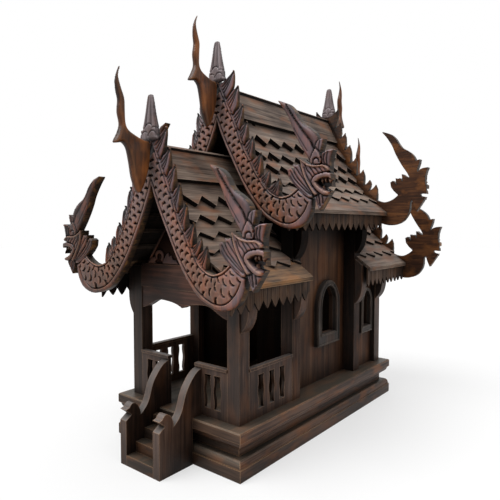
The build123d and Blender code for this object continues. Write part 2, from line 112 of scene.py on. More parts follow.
def woodMaterial(name, wood):
    # planed or carved teak: fine fibres along the grain, broader growth bands across it,
    # painted shade in the corners, and edges rubbed lighter by handling
    material = bpy.data.materials.new(name)
    material.use_nodes = True
    tree, look = material.node_tree, woodLook
    add = partial(addNode, tree)
    shader = tree.nodes["Principled BSDF"]
    place = add("TexCoord").outputs["Object"]
    x, y, z = add("SeparateXYZ", (place,)).outputs
    normal = add("NewGeometry").outputs["Normal"]
    facing = add("SeparateXYZ", (normal,)).outputs
    if wood["grain"] == "auto":
        # boards run along the house on its sides and across it on its front and back
        sideways = add("Math", (facing[1],), operation="ABSOLUTE")
        onFront = add("Math", (sideways, look["frontFrom"]), operation="GREATER_THAN")
        along = add("Mix", {0: onFront, 2: y, 3: x})
        across = add("Mix", {0: onFront, 2: x, 3: y})
        rise = z
    else:
        along, across, rise = {"x": (x, y, z), "y": (y, x, z), "z": (z, x, y)}[wood["grain"]]
    # one unit of this space is one fibre: its length along the grain, its width across it
    length, width = wood["fibre"]
    grainSpace = add("CombineXYZ", [add("Math", (value, 1 / (size * mm)), operation="MULTIPLY")
                                    for value, size in ((along, length), (across, width), (rise, width))])
    fibre = add("TexNoise", {"Vector": grainSpace, **look["fibres"]})
    band = add("TexNoise", {"Vector": grainSpace, **look["bands"]})
    cloud = add("TexNoise", {"Vector": place, "Scale": wood["blotch"], "Detail": 2.0})
    mixed = add("Mix", {0: look["bandShare"], 2: fibre, 3: band})
    mixed = add("Mix", {0: look["cloudShare"], 2: mixed, 3: cloud})
    stain = add("ValToRGB", (mixed,))
    colourSteps(stain, list(zip(look["stainSteps"], wood["stain"])))
    # where the stain has worn thin the orange heartwood shows, in patches drawn out along the grain
    patches = add("VectorMath", (grainSpace, look["patchStretch"]), operation="MULTIPLY")
    patches = add("TexNoise", {"Vector": patches, "Scale": 1.0, "Detail": 3.0})
    thin = add("MapRange", (patches, *look["patchRange"], 0.0, wood["heart"][1]))
    # dust, with a painted sheen of the pale sky on it, greys what faces up and to the front
    dustSheenShare = add("VectorMath", (normal, look["dustSheenFacing"]), operation="DOT_PRODUCT").outputs["Value"]
    dustSheenShare = add("MapRange", (dustSheenShare, wood["dustSheenFrom"], 1.0, 0.0, wood["dustAndSheen"][1]))
    if "sheenFades" in wood:
        # painted shade: less of the dust and its painted sheen towards the left of the house, away from the
        # light, the least at the first x and all of it at the second, and least of it 90 to 140 mm out from
        # the middle
        first, second = wood["sheenFades"]
        leftFade = add("MapRange", (x, first * mm, second * mm, look["leftSheenShare"], 1.0))
        outward = add("Math", (x,), operation="ABSOLUTE")
        outward = add("Math", (outward, 1 / (look["middleReach"] * mm)), operation="MULTIPLY")
        middleFade = add("ValToRGB", (outward,))
        colourSteps(middleFade, look["middleSteps"])
        for share in (leftFade, middleFade):
            dustSheenShare = add("Math", (dustSheenShare, share), operation="MULTIPLY")
    layers = [(thin, wood["heart"][0]), (dustSheenShare, wood["dustAndSheen"][0])]
    if "grimeAndShade" in wood:
        # carved pieces carry how far each point stands out, from 0 in a cut to 1 on a crest, with their
        # painted shade and highlights; cuts take grime with painted shade, crests wear with painted highlight
        relief = add("Attribute", attribute_name="relief").outputs["Fac"]
        crest = add("MapRange", (relief, *look["crestRange"], 0.0, wood["worn"][1]))
        cut = add("MapRange", (relief, *look["cutRange"], 0.0, look["cutShare"]))
        layers += [(crest, wood["worn"][0]), (cut, wood["grimeAndShade"])]
    else:
        # an edge is where the normal, rounded over a few millimetres, leaves the face's own
        rounded = add("Bevel", {"Radius": wood["wearWidth"] * mm}, samples=4)
        turn = add("VectorMath", (normal, rounded), operation="DOT_PRODUCT").outputs["Value"]
        edge = add("MapRange", (turn, *look["edgeRange"], 0.0, 1.0))
        patchy = add("MapRange", (cloud, *look["patchyRange"], look["patchyLeast"], 1.0))
        rub = add("Math", (edge, patchy), operation="MULTIPLY")
        rub = add("Math", (rub, wood["worn"][1]), operation="MULTIPLY")
        layers.append((rub, wood["worn"][0]))
    reach, least = wood["corner"]
    corner = add("AmbientOcclusion", {"Distance": reach * mm}, samples=8).outputs["AO"]
    shades = [add("MapRange", (corner, *look["cornerRange"], least, 1.0))]
    if "darkerAlong" in wood:
        # painted shade darkens the wood from one place to another along x, y or z (0, 1 or 2)
        axis, start, full, share = wood["darkerAlong"]
        shades.append(add("MapRange", ((x, y, z)[axis], start * mm, full * mm, 1.0, share)))
    if "inwardShade" in wood:
        # painted shade on what looks level or up towards the middle of the house, under the eaves
        looksIn = add("Math", (facing[0], x), operation="MULTIPLY")
        shadeIn = add("MapRange", (looksIn, *look["inwardRange"], 0.0, 1 - wood["inwardShade"]))
        level = add("MapRange", (facing[2], *look["levelRange"], 0.0, 1.0))
        shadeIn = add("Math", (shadeIn, level), operation="MULTIPLY")
        shades.append(add("Math", (1.0, shadeIn), operation="SUBTRACT"))
    colour = stain.outputs[0]
    for share, tint in layers:
        colour = add("Mix", {0: share, 6: colour, 7: hexColour(tint)}, data_type="RGBA").outputs[2]
    for shade in shades:
        colour = add("Mix", {0: 1.0, 6: colour, 7: shade}, data_type="RGBA", blend_type="MULTIPLY").outputs[2]
    smooth, rough = wood["roughness"]
    gloss = add("MapRange", (mixed, *look["glossRange"], rough, smooth)).outputs[0]
    pores = add("Bump", {"Strength": wood["pores"], "Distance": look["poreDepth"] * mm, "Height": mixed})
    for socket, source in (("Base Color", colour), ("Roughness", gloss), ("Normal", pores.outputs[0])):
        tree.links.new(source, shader.inputs[socket])
    shader.inputs["Specular IOR Level"].default_value = wood["sheen"]
    return material


# What a finish says only where it differs, from this or from the one that it is like. Lengths are
# in millimetres: fibre is a length and a width. Heart, dust and worn are a colour and how much of it
# shows, the dust with a painted sheen in it; wearWidth is the width of a worn edge, and grime the
# colour of the grime and painted shade in the cuts of carved wood. Corner is the reach of the shade
# in corners and the share of light left there, the fade of dust and sheen on the left two places
# along x, the painted darkening an axis (0, 1 or 2), two places on it and the share of the colour
# its painted shade leaves, and the inward shade the share left on surfaces that look inward.
plainTeak = {"grain": "z", "dustSheenFrom": 0.3, "sheen": 0.16, "pores": 0.3, "roughness": (0.5, 0.7)}
finishes = {
    "oiledBaseTeak": {  # thick moulded boards, oiled dark, rubbed pale along every arris
        "grain": "auto", "fibre": (55, 2.2), "blotch": 9.0, "stain": ("#1c110c", "#3a281f", "#604739"),
        "heart": ("#7a4a28", 0.7), "dustAndSheen": ("#6f6c62", 0.5), "worn": ("#b08a68", 0.8), "wearWidth": 2.4,
        "corner": (60, 0.16), "roughness": (0.34, 0.55), "pores": 0.35},
    "stainedFrameTeak": {  # upright posts and rails, satin dark stain
        "fibre": (60, 2.0), "blotch": 11.0, "stain": ("#1c110c", "#38271f", "#5c4539"),
        "heart": ("#664028", 0.5), "dustAndSheen": ("#7d7875", 0.65), "worn": ("#a8866a", 0.7), "wearWidth": 2.2,
        "corner": (100, 0.14), "roughness": (0.36, 0.58), "pores": 0.35},
    "stainedCrossTeak": {  # lintel and other boards laid across the house
        "like": "stainedFrameTeak", "grain": "x", "stain": ("#1c0f0b", "#40271e", "#6a4638"),
        "heart": ("#6e3f2b", 0.5), "dustAndSheen": ("#85736c", 0.5), "worn": ("#ab866b", 0.7),
        "corner": (100, 0.05)},
    "wallTeak": {  # upright wall boards, red-brown under a dark stain
        "fibre": (90, 2.6), "blotch": 10.0, "stain": ("#22140d", "#3d281c", "#5b3f2c"),
        "heart": ("#6a4228", 0.5), "dustAndSheen": ("#7a6a60", 0.4), "worn": ("#946a4b", 0.5), "wearWidth": 2.0,
        "corner": (120, 0.05), "roughness": (0.4, 0.6), "sheen": 0.1},
    "weatheredRoofTeak": {  # dry lapped boards, greyer than the walls
        "grain": "y", "fibre": (50, 2.0), "blotch": 10.0, "stain": ("#352b26", "#66574d", "#8b7a6c"),
        "heart": ("#82553a", 0.7), "dustAndSheen": ("#968a83", 0.3), "worn": ("#c4ab94", 0.6), "wearWidth": 1.6,
        "corner": (45, 0.15), "roughness": (0.5, 0.72), "pores": 0.45},
    "goldenSkirtTeak": {  # eave boards under the porch roof, worn through to golden wood
        "like": "weatheredRoofTeak", "stain": ("#2a1f18", "#69503c", "#a07c56"), "heart": ("#94643a", 0.8),
        "dustAndSheen": ("#968a80", 0.35), "worn": ("#c4a27a", 0.6)},
    "greyFrameTeak": {  # window frames, stained nearly black and rubbed grey
        "fibre": (40, 1.6), "blotch": 14.0, "stain": ("#13100e", "#2b2420", "#433a34"),
        "heart": ("#4a3122", 0.4), "dustAndSheen": ("#6c6662", 0.4), "worn": ("#8d7e72", 0.9), "wearWidth": 1.8,
        "corner": (40, 0.2), "roughness": (0.4, 0.6)},
    "shadedSawnEdgeTeak": {  # end grain left by the saw, darker as it drinks stain and holds dust, and painted near black as the shade under each row
        "grain": "y", "fibre": (6, 1.6), "blotch": 14.0, "stain": ("#090605", "#110c09", "#221915"),
        "heart": ("#2c1d14", 0.4), "dustAndSheen": ("#544840", 0.2), "worn": ("#8a6f59", 0.2), "wearWidth": 1.0,
        "corner": (45, 0.2), "roughness": (0.6, 0.8), "sheen": 0.1, "pores": 0.4},
    "sawnFringeTeak": {  # thin upright slats, with painted shade on the faces that look inward
        "fibre": (30, 1.4), "blotch": 14.0, "stain": ("#1c1511", "#38291f", "#594436"),
        "heart": ("#5c3d28", 0.4), "dustAndSheen": ("#75695f", 0.3), "worn": ("#8b7059", 0.4), "wearWidth": 1.0,
        "corner": (80, 0.15), "sheen": 0.12, "pores": 0.4, "inwardShade": 0.25},
    "carvedTeak": {  # waxed carving: near black in the cuts with painted shade, mauve-grey with dust and painted sheen and orange on the crests, painted darker to the left
        "fibre": (28, 1.8), "blotch": 13.0, "stain": ("#1a0d08", "#482717", "#86492b"),
        "heart": ("#96502b", 0.85), "dustAndSheen": ("#938690", 0.85), "worn": ("#b48c74", 0.8), "grimeAndShade": "#030202",
        "corner": (30, 0.3), "dustSheenFrom": -0.2, "roughness": (0.3, 0.46), "sheen": 0.25, "sheenFades": (-170, -60),
        "darkerAlong": (0, -40, -170, 0.6)},
    "plainBackTeak": {  # uncarved back of a bargeboard, orange-brown with the grain across it, painted darker towards the apex
        "grain": "x", "fibre": (30, 1.8), "blotch": 12.0, "stain": ("#1c0f08", "#44291a", "#71492c"),
        "heart": ("#80502a", 0.8), "dustAndSheen": ("#6d5a4c", 0.2), "worn": ("#7d5230", 0.1), "grimeAndShade": "#0a0503",
        "corner": (30, 0.3), "roughness": (0.36, 0.55), "sheen": 0.2, "darkerAlong": (2, 540, 640, 0.4)},
    "sawnSideTeak": {  # sawn sides of a carving: golden beneath, greyed above by dust and painted sheen, with painted shade on what looks inward
        "grain": "y", "fibre": (18, 1.8), "blotch": 14.0, "stain": ("#150f0a", "#3d2b1c", "#765333"),
        "heart": ("#96683a", 0.85), "dustAndSheen": ("#5a564e", 0.75), "worn": ("#96703f", 0.2), "grimeAndShade": "#080503",
        "corner": (60, 0.12), "roughness": (0.4, 0.6), "sheen": 0.2, "inwardShade": 0.2},
    "silverSpireTeak": {  # the spires have weathered to a mauve grey
        "fibre": (24, 1.6), "blotch": 14.0, "stain": ("#352a2a", "#6a5c5c", "#918486"),
        "heart": ("#6b4b3c", 0.4), "dustAndSheen": ("#a89da1", 0.5), "worn": ("#b9acad", 0.5), "grimeAndShade": "#0d0a0a",
        "corner": (30, 0.35), "roughness": (0.34, 0.5), "sheen": 0.25},
    "honeyFinialTeak": {  # paler oiled horns
        "fibre": (40, 2.0), "blotch": 12.0, "stain": ("#1c0d06", "#462612", "#784423"),
        "heart": ("#8a5024", 0.8), "dustAndSheen": ("#8f7a6c", 0.15), "worn": ("#bc7c45", 0.5), "grimeAndShade": "#0a0503",
        "corner": (30, 0.4), "roughness": (0.28, 0.44), "sheen": 0.25, "pores": 0.25},
    "shadedFrameTeak": {  # frame posts with painted shade darkening them towards the roof
        "like": "stainedFrameTeak", "sheen": 0.06, "darkerAlong": (2, 190, 340, 0.12)},
    "shadedBracketTeak": {  # brackets painted dark as the shade up under the eave
        "like": "stainedFrameTeak", "sheen": 0.02, "darkerAlong": (2, 290, 340, 0.1)},
    "leftShadedPostTeak": {  # porch posts, painted darker on the shaded left side
        "like": "stainedFrameTeak", "darkerAlong": (0, 20, -110, 0.5)},
    "shadedCrossTeak": {  # the porch's pediment, painted dark as the shade high under the porch roof
        "like": "stainedCrossTeak", "sheen": 0.06, "darkerAlong": (2, 295, 370, 0.18)},
    "shadedFrontWallTeak": {  # the hall's front walls, painted dark as the shade behind the porch
        "like": "wallTeak", "sheen": 0.02, "darkerAlong": (2, 75, 120, 0.1)},
    "shadedRearWallTeak": {  # the hall's rear wall, painted darker upwards as the shade inside
        "like": "wallTeak", "darkerAlong": (2, 70, 130, 0.3)},
    "eaveWallTeak": {  # the hall's side walls, with painted shade under the eaves
        "like": "wallTeak", "darkerAlong": (2, 330, 375, 0.45)},
    "shadedCarvingTeak": {  # pediment scrolls, nearly black
        "like": "carvedTeak", "sheen": 0.06, "darkerAlong": (2, 280, 380, 0.1)},
}
for name, wood in finishes.items():
    finishes[name] = {**finishes.get(wood.get("like"), plainTeak), **wood}
materials = {name: woodMaterial(name, wood) for name, wood in finishes.items()}

# Nodes not named here are frames and posts, or walls where their name says so
nodesWith = {
    "oiledBaseTeak": "lower_plinth plinth_waist base_cornice platform_slab stair_steps porch_side_plates",
    "stainedCrossTeak": "front_lintel",
    "shadedCrossTeak": "porch_pediment",
    "shadedFrontWallTeak": "hall_front_walls hall_front_gable",
    "shadedRearWallTeak": "hall_rear_wall",
    "eaveWallTeak": "hall_wall_right hall_wall_left",
    "shadedFrameTeak": "hall_front_posts hall_rear_posts",
    "shadedBracketTeak": "main_eave_brackets",
    "leftShadedPostTeak": "porch_posts",
    "greyFrameTeak": "hall_window_frames wing_window_frames",
    "weatheredRoofTeak": "main_skirts wing_skirts",
    "goldenSkirtTeak": "porch_skirts",
}
finishOf = {node: finish for finish, names in nodesWith.items() for node in names.split()}
for name, obj in nodes.items():
    plain = "wallTeak" if "wall" in name or "gable" in name else "stainedFrameTeak"
    obj.data.materials.clear()
    obj.data.materials.append(materials[finishOf.get(name, plain)])
print("materials ready", len(materials))


# Tools for making pieces. All lengths are in millimetres until makePiece turns them into metres.

def makePiece(name, points, faces, finishNames, replaced, relief=None, sharp=38, marks=None):
    # faces have four corners; marks says which of the finishes each face has
    mesh = bpy.data.meshes.new(name)
    mesh.vertices.add(len(points))
    mesh.vertices.foreach_set("co", (np.asarray(points) * mm).astype(np.float32).ravel())
    mesh.loops.add(faces.size)
    mesh.loops.foreach_set("vertex_index", faces.astype(np.int32).ravel())
    mesh.polygons.add(len(faces))
    mesh.polygons.foreach_set("loop_start", np.arange(0, faces.size, 4, dtype=np.int32))
    mesh.polygons.foreach_set("use_smooth", np.ones(len(faces), dtype=bool))
    mesh.update(calc_edges=True)
    if relief is not None:
        layer = mesh.attributes.new("relief", "FLOAT", "POINT")
        layer.data.foreach_set("value", relief.astype(np.float32))
    mesh.set_sharp_from_angle(angle=radians(sharp))
    for finish in finishNames:
        mesh.materials.append(materials[finish])
    if marks is not None:
        mesh.polygons.foreach_set("material_index", marks.astype(np.int32))
    piece = bpy.data.objects.new(name, mesh)
    bpy.context.scene.collection.objects.link(piece)
    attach(piece, "root")
    if replaced:
        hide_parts(*replaced)


def places(text):
    # the points of a line: pairs of numbers, first across and then up
    return np.array(text.split(), dtype=float).reshape(-1, 2)


def smoothLine(points, spacing=2.0, closed=False):
    # a curve through the points, each span a cubic whose slope at a point is
    # half the step between its two neighbours, then spaced evenly along its length
    p = np.asarray(points, dtype=float)
    if closed:
        p = np.vstack([p[-1], p, p[0], p[1]])
    else:
        p = np.vstack([2 * p[0] - p[1], p, 2 * p[-1] - p[-2]])
    t = np.linspace(0, 1, 9)[:-1, None]
    a, b, c, d = p[:-3, None], p[1:-2, None], p[2:-1, None], p[3:, None]
    curve = b + 0.5 * t * (c - a + t * (2 * a - 5 * b + 4 * c - d + t * (3 * (b - c) + d - a)))
    curve = np.vstack([curve.reshape(-1, 2), p[-2]])
    length = np.r_[0, np.hypot(*np.diff(curve, axis=0).T).cumsum()]
    even = np.linspace(0, length[-1], max(4, int(length[-1] / spacing) + 1))
    line = np.column_stack([np.interp(even, length, curve[:, k]) for k in (0, 1)])
    return line[:-1] if closed else line


def lineDistance(x, v, line):
    # distance from each point to a line, and how far along the line its nearest point is
    a, b = line[:-1], line[1:]
    d = b - a
    size = np.hypot(*d.T)
    ex, ev = x[:, None] - a[:, 0], v[:, None] - a[:, 1]
    t = np.clip((ex * d[:, 0] + ev * d[:, 1]) / (size ** 2 + 1e-9), 0, 1)
    gap = np.hypot(ex - t * d[:, 0], ev - t * d[:, 1])
    best = gap.argmin(axis=1)
    rows = np.arange(len(x))
    start = np.r_[0, size.cumsum()][:-1]
    return gap[rows, best], start[best] + t[rows, best] * size[best]


def outlineDistance(x, v, outline):
    # distance to the nearest side of a closed outline, negative inside it
    gap, _ = lineDistance(x, v, np.vstack([outline, outline[:1]]))
    a, b = outline, np.roll(outline, -1, axis=0)
    rise = np.where(b[:, 1] == a[:, 1], 1e-9, b[:, 1] - a[:, 1])
    crosses = (a[:, 1] > v[:, None]) != (b[:, 1] > v[:, None])
    at = a[:, 0] + (b[:, 0] - a[:, 0]) * (v[:, None] - a[:, 1]) / rise
    inside = (crosses & (x[:, None] < at)).sum(axis=1) % 2 == 1
    return np.where(inside, -gap, gap)


def joinParts(parts):
    # several (points, faces, values) made one
    counts = np.cumsum([0] + [len(part[0]) for part in parts])
    return (np.vstack([part[0] for part in parts]),
            np.vstack([part[1] + count for part, count in zip(parts, counts)]),
            np.concatenate([part[2] for part in parts]))


def bell(distance, width, middle=0.0):
    # 1 on a line and falling away on both sides of it as a bell curve
    return np.exp(-((distance - middle) / width) ** 2)


def dome(share):
    # height of a half circle of radius 1 at that share of the radius from its middle
    return np.sqrt(np.clip(1 - share ** 2, 0, 1))


def swelling(gap, edge):
    # a quarter circle that rises from 0 on the outline to 1 at edge inside it
    return np.sqrt(1 - (1 - np.clip(-gap / edge, 0, 1)) ** 2)


def newField(low, high, cell):
    # a flat grid to carve on: gap is the distance to the outline, negative inside it, top the height
    # of the carved face above the board's back, and tone its painted shade and highlight, dark to light
    x, v = np.meshgrid(np.arange(low[0], high[0] + cell, cell), np.arange(low[1], high[1] + cell, cell),
                       indexing="ij")
    return SimpleNamespace(shape=x.shape, cell=cell, x=x.ravel(), v=v.ravel(), top=np.full(x.size, 12.0),
                           gap=np.full(x.size, 1e3), tone=np.full(x.size, 0.5))


# How a leaf is set in: the width of the cut round it, the painted shade in that cut and in the grooves, and
# the painted highlight on the beads
leafLook = {"moat": 3.2, "moatTone": 0.5, "grooveTone": 0.45, "beadTone": 0.3}


def layPlate(field, outline, level, crown=1.6, edge=2.6, grooves=(), beads=(), cut=2.0, tone=0.5, slope=None):
    # one carved leaf: its face stands at level, rounds over crown towards its outline,
    # and a cut runs round it in whatever lies beneath
    low, high = outline.min(axis=0) - 6, outline.max(axis=0) + 6
    near = np.flatnonzero((field.x > low[0]) & (field.x < high[0]) &
                          (field.v > low[1]) & (field.v < high[1]))
    x, v = field.x[near], field.v[near]
    gap = outlineDistance(x, v, outline)
    top = level - crown + crown * swelling(gap, edge)
    if slope is not None:
        top = top + slope(x, v)
    shade = np.full(len(x), tone)
    # grooves are painted darker and beads lighter, as painted shade and highlight
    for lines, sense, tint in ((grooves, -1, leafLook["grooveTone"]), (beads, 1, leafLook["beadTone"])):
        for line, height, width in lines:
            swell = sense * bell(lineDistance(x, v, line)[0], width)
            top = top + height * swell
            shade = shade + tint * swell
    before = field.gap[near]
    # painted shade in the cut round the leaf, in whatever lies beneath
    beside = (gap >= 0) & (gap < leafLook["moat"]) & (before < 0)
    sink = np.where(beside, 1 - gap / leafLook["moat"], 0)
    field.top[near] -= cut * sink
    field.tone[near] -= leafLook["moatTone"] * sink
    takes = (gap < 0) | ((before > 0) & (gap < before))
    field.top[near[takes]] = top[takes]
    field.tone[near[takes]] = shade[takes]
    field.gap[near] = np.minimum(before, gap)


# Relief is measured against the mean within reach, in mm, and gain is its share for each mm; a
# board's back and the rim of it have fixed values
reliefLook = {"reach": 3.0, "gain": 0.11, "back": 0.5, "rim": 0.1}


def reliefOf(field):
    # how far each point stands above the mean of its surroundings, added to the carving's painted tones:
    # what stands out is painted lighter as a highlight, what lies in is painted darker as shade
    inside = (field.gap < field.cell).astype(float).reshape(field.shape)
    top = field.top.reshape(field.shape) * inside
    reach = max(1, round(reliefLook["reach"] / field.cell))

    def spread(grid):
        for axis in (0, 1):
            grid = sum(np.roll(grid, k, axis) for k in range(-reach, reach + 1))
        return grid
    mean = spread(top) / np.maximum(spread(inside), 1e-6)
    rise = (top - mean).ravel()
    return np.clip(field.tone + reliefLook["gain"] * rise, 0, 1)


def slabMesh(field, back):
    # keeps the cells inside the outline, draws their rim onto it, and closes the sides;
    # returns points as (x, v, height), four-cornered faces, each point's relief, and
    # marks on the faces: 0 on the carved front, 1 on the back, 2 on the sides
    nx, nv = field.shape
    gap = field.gap.reshape(nx, nv)
    keep = (gap[:-1, :-1] + gap[1:, :-1] + gap[:-1, 1:] + gap[1:, 1:]) < 0
    # two cells that touch only at a corner are joined by a third, so that no edge has four faces
    for _ in range(2):
        a, b, c, d = keep[:-1, :-1], keep[1:, :-1], keep[1:, 1:], keep[:-1, 1:]
        keep[1:, :-1] |= a & c & ~b & ~d
        keep[:-1, :-1] |= b & d & ~a & ~c
    padded = np.pad(keep, 1)
    around = np.stack([padded[:-1, :-1], padded[1:, :-1], padded[:-1, 1:], padded[1:, 1:]]).sum(axis=0)
    rim = (around > 0) & (around < 4)
    gx, gv = np.gradient(gap, field.cell)
    size = np.maximum(np.hypot(gx, gv), 0.3)
    x = field.x.reshape(nx, nv) - np.where(rim, gap * gx / size ** 2, 0)
    v = field.v.reshape(nx, nv) - np.where(rim, gap * gv / size ** 2, 0)
    index = np.arange(nx * nv).reshape(nx, nv)
    a, b, c, d = index[:-1, :-1], index[1:, :-1], index[1:, 1:], index[:-1, 1:]
    total = nx * nv
    front = np.stack([a, b, c, d], axis=-1)[keep]
    rear = front[:, ::-1] + total
    below = keep & ~padded[1:-1, :-2]
    above = keep & ~padded[1:-1, 2:]
    left = keep & ~padded[:-2, 1:-1]
    right = keep & ~padded[2:, 1:-1]
    sides = [np.stack([q, p, p + total, q + total], axis=-1)[where]
             for p, q, where in ((a, b, below), (b, c, right), (c, d, above), (d, a, left))]
    faces = np.vstack([front, rear, *sides])
    marks = np.repeat([0, 1, 2], [len(front), len(rear), len(faces) - 2 * len(front)])
    points = np.vstack([np.column_stack([x.ravel(), v.ravel(), field.top]),
                        np.column_stack([x.ravel(), v.ravel(), back])])
    relief = np.r_[reliefOf(field), np.where(rim.ravel(), reliefLook["rim"], reliefLook["back"])]
    used, faces = np.unique(faces, return_inverse=True)
    return points[used], faces.reshape(-1, 4), relief[used], marks


# Nagas: the carved bargeboards, worked out once on the right-hand side of a gable.
# x is the distance from the middle of the gable, v the height above its ridge.

nagaCarving = {
    "cell": 1.1,            # grid of the carved face
    "scaleLength": 21.0,    # one scale and the one it half covers
    "scaleColumns": 2.0,    # scales from the spine to the rim
    "scaleLip": 0.8,        # how far a scale's free edge stands out
    "notch": 5.5,           # depth of the crescent gouged beyond it
    "gouge": 2.4,           # width of that crescent, how far ahead of the edge it lies
    "gougeAhead": 1.5,
    "gougeShort": 3.2,      # a crescent's ends: the scale's width over the crescent's half width
    "scaleDome": 2.6,       # how much the row of scales swells from rim to spine
    "bodyLevel": 13.0,      # face of the body above the board's back
    "rimLevel": 10.8,       # plain rim along the lower edge, and how much it swells
    "rimDome": 2.6,
    "rimBead": 0.8,         # height of the bead beside the rim's cut, and depth of that cut
    "rimCut": 2.0,
    "spineWidth": 4.0,      # raised line along the back: its bead and the cut beside it
    "spineBead": 2.0,
    "spineCut": 1.6,
    "beadIn": 1.6,          # middle of a bead from the line it follows
    "cutWidth": 0.9,
    # how light or dark each is painted: painted shade in the cuts and gouges, painted highlight on the lips
    # and beads
    "tones": {"scale": 0.6, "gouge": 1.3, "lip": 0.15, "rim": 0.5, "rimBead": 0.22, "rimCut": 0.5,
              "spine": 0.5, "spineBead": 0.3, "spineCut": 0.45},
    "scaleStart": 0.2,      # where the first column of scales begins, in scales
    "scaleBow": 0.4,        # how much a scale swells across
    "towardsHead": (110, 50, 0.45),     # gouges narrow from an x, over a length, by a share
    "backBevel": 4.0,       # how far the fins are cut back from the rear face
}
# A fin starts on the spine behind its tip, and its heel stands under the tip. Each pair is a step
# across and up; the grooves run at these shares of the fin's root.
finShape = {
    "level": 12.4, "stagger": 0.15,     # every other fin stands a little higher
    "thins": 4.5,           # how much thinner a fin is at its tip
    "behindTip": (17, 15), "nextTip": (20, -24), "heelRoot": (5, 11), "rootEnd": (2, -1),
    "heelReach": 3.0, "heelGap": 10.5, "heelDrop": 4.0,
    "frontBulge": 2.6, "backBulge": (2.0, 0),
    "grooves": (0.3, 0.52, 0.74), "grooveSize": (2.4, 1.2), "grooveBulge": 1.4, "fan": 5.0,
}
underEdge = places("-2 -60  8 -88  36 -142  71 -197  104 -232  130 -246.5  160 -254  187 -246  202 -226  "
    "205 -203")
rimLine = places("-2 -53  12 -84  24 -109  42 -141  60 -171  77 -194  93 -212  113 -230  136 -241.5  "
    "156 -245.5  173 -241  189 -226  198 -209")
spineLine = places("-2 10  9 -8  24 -38  36 -61  50 -88  64 -118  78 -140  94 -164  110 -184  125 -196  "
    "142 -202  157 -200  170 -193  181 -183")
finTips = {
    "low": places("31 24  37 -10  49 -37  61 -66  76 -97  94 -126  110 -150  125 -161"),
    "high": places("35 20  45 -8  56 -42  65 -72  78 -98  97 -127  114 -156  136 -170"),
}


def carveBody(field, carving):
    under, rim, spine = smoothLine(underEdge), smoothLine(rimLine), smoothLine(spineLine)
    gap = outlineDistance(field.x, field.v, np.vstack([under, [(198, -194)], spine[::-1]]))
    near = np.flatnonzero(gap < 3)
    x, v, gap = field.x[near], field.v[near], gap[near]
    toSpine, _ = lineDistance(x, v, spine)
    toRim, _ = lineDistance(x, v, rim)
    middle = sum(line[np.linspace(0, len(line) - 1, 80).astype(int)] for line in (rim, spine)) / 2
    _, along = lineDistance(x, v, middle)
    inZone = outlineDistance(x, v, np.vstack([rim, spine[::-1]])) < 0
    # a scale's free edge is half an ellipse that points to the tail; two sets of scales,
    # half a step apart both ways, and the one whose free edge was passed last lies on top
    u = along / carving["scaleLength"]
    share = toSpine / np.maximum(toSpine + toRim, 1e-6)
    across = share * carving["scaleColumns"] + carving["scaleStart"]
    shift = np.array([[0.0], [0.5]])
    offset = across + shift - np.round(across + shift)
    passed = (u + shift + 0.5 * dome(2 * offset)) % 1.0
    first = passed.argmin(axis=0)[None]
    e = passed.min(axis=0)
    dc = np.take_along_axis(offset, first, axis=0)[0]
    # a crescent is gouged beyond each free edge, narrower towards the head
    ahead = (1 - passed) * carving["scaleLength"]
    narrowFrom, narrowOver, narrowed = carving["towardsHead"]
    gouge = carving["gouge"] * (1 - narrowed * np.clip((x - narrowFrom) / narrowOver, 0, 1))
    crescent = bell(ahead, gouge, carving["gougeAhead"]) * dome(carving["gougeShort"] * offset)
    crescent = np.take_along_axis(crescent, 1 - first, axis=0)[0]
    scaleTop = (carving["bodyLevel"] - 1.0 + carving["scaleDome"] * dome(2 * share - 1)
                - carving["scaleLip"] * np.minimum(e, 0.62) + carving["scaleBow"] * (1 - (2 * dc) ** 2)
                - carving["notch"] * crescent)
    # the crescents are painted dark as shade, and the free edges light as a painted highlight
    tones = carving["tones"]
    scaleTone = (tones["scale"] - tones["gouge"] * crescent
                 + tones["lip"] * np.exp(-e / 0.12) * (crescent < 0.2))
    # plain rounded rim along the lower edge, a bead at its inner side and a cut beside that
    inRim = np.clip(-gap / np.maximum(-gap + toRim, 1e-6), 0, 1)
    beadIn, width = carving["beadIn"], carving["cutWidth"]
    bead, cut = bell(toRim, width, beadIn), bell(toRim, width)
    rimTop = carving["rimLevel"] + carving["rimDome"] * dome(2 * inRim - 1) + carving["rimBead"] * bead
    top = np.where(inZone, scaleTop, rimTop) - carving["rimCut"] * cut
    tone = np.where(inZone, scaleTone, tones["rim"] + tones["rimBead"] * bead) - tones["rimCut"] * cut
    # the spine: a raised bead with a cut on each side
    bead, cut = bell(toSpine, 1.0, beadIn), bell(toSpine, width, carving["spineWidth"])
    onSpine = toSpine < carving["spineWidth"]
    top = np.where(onSpine, carving["bodyLevel"] - 0.4, top)
    field.top[near] = top + carving["spineBead"] * bead - carving["spineCut"] * cut
    tone = np.where(onSpine, tones["spine"], tone)
    field.tone[near] = tone + tones["spineBead"] * bead - tones["spineCut"] * cut
    field.gap[near] = gap
    return spine


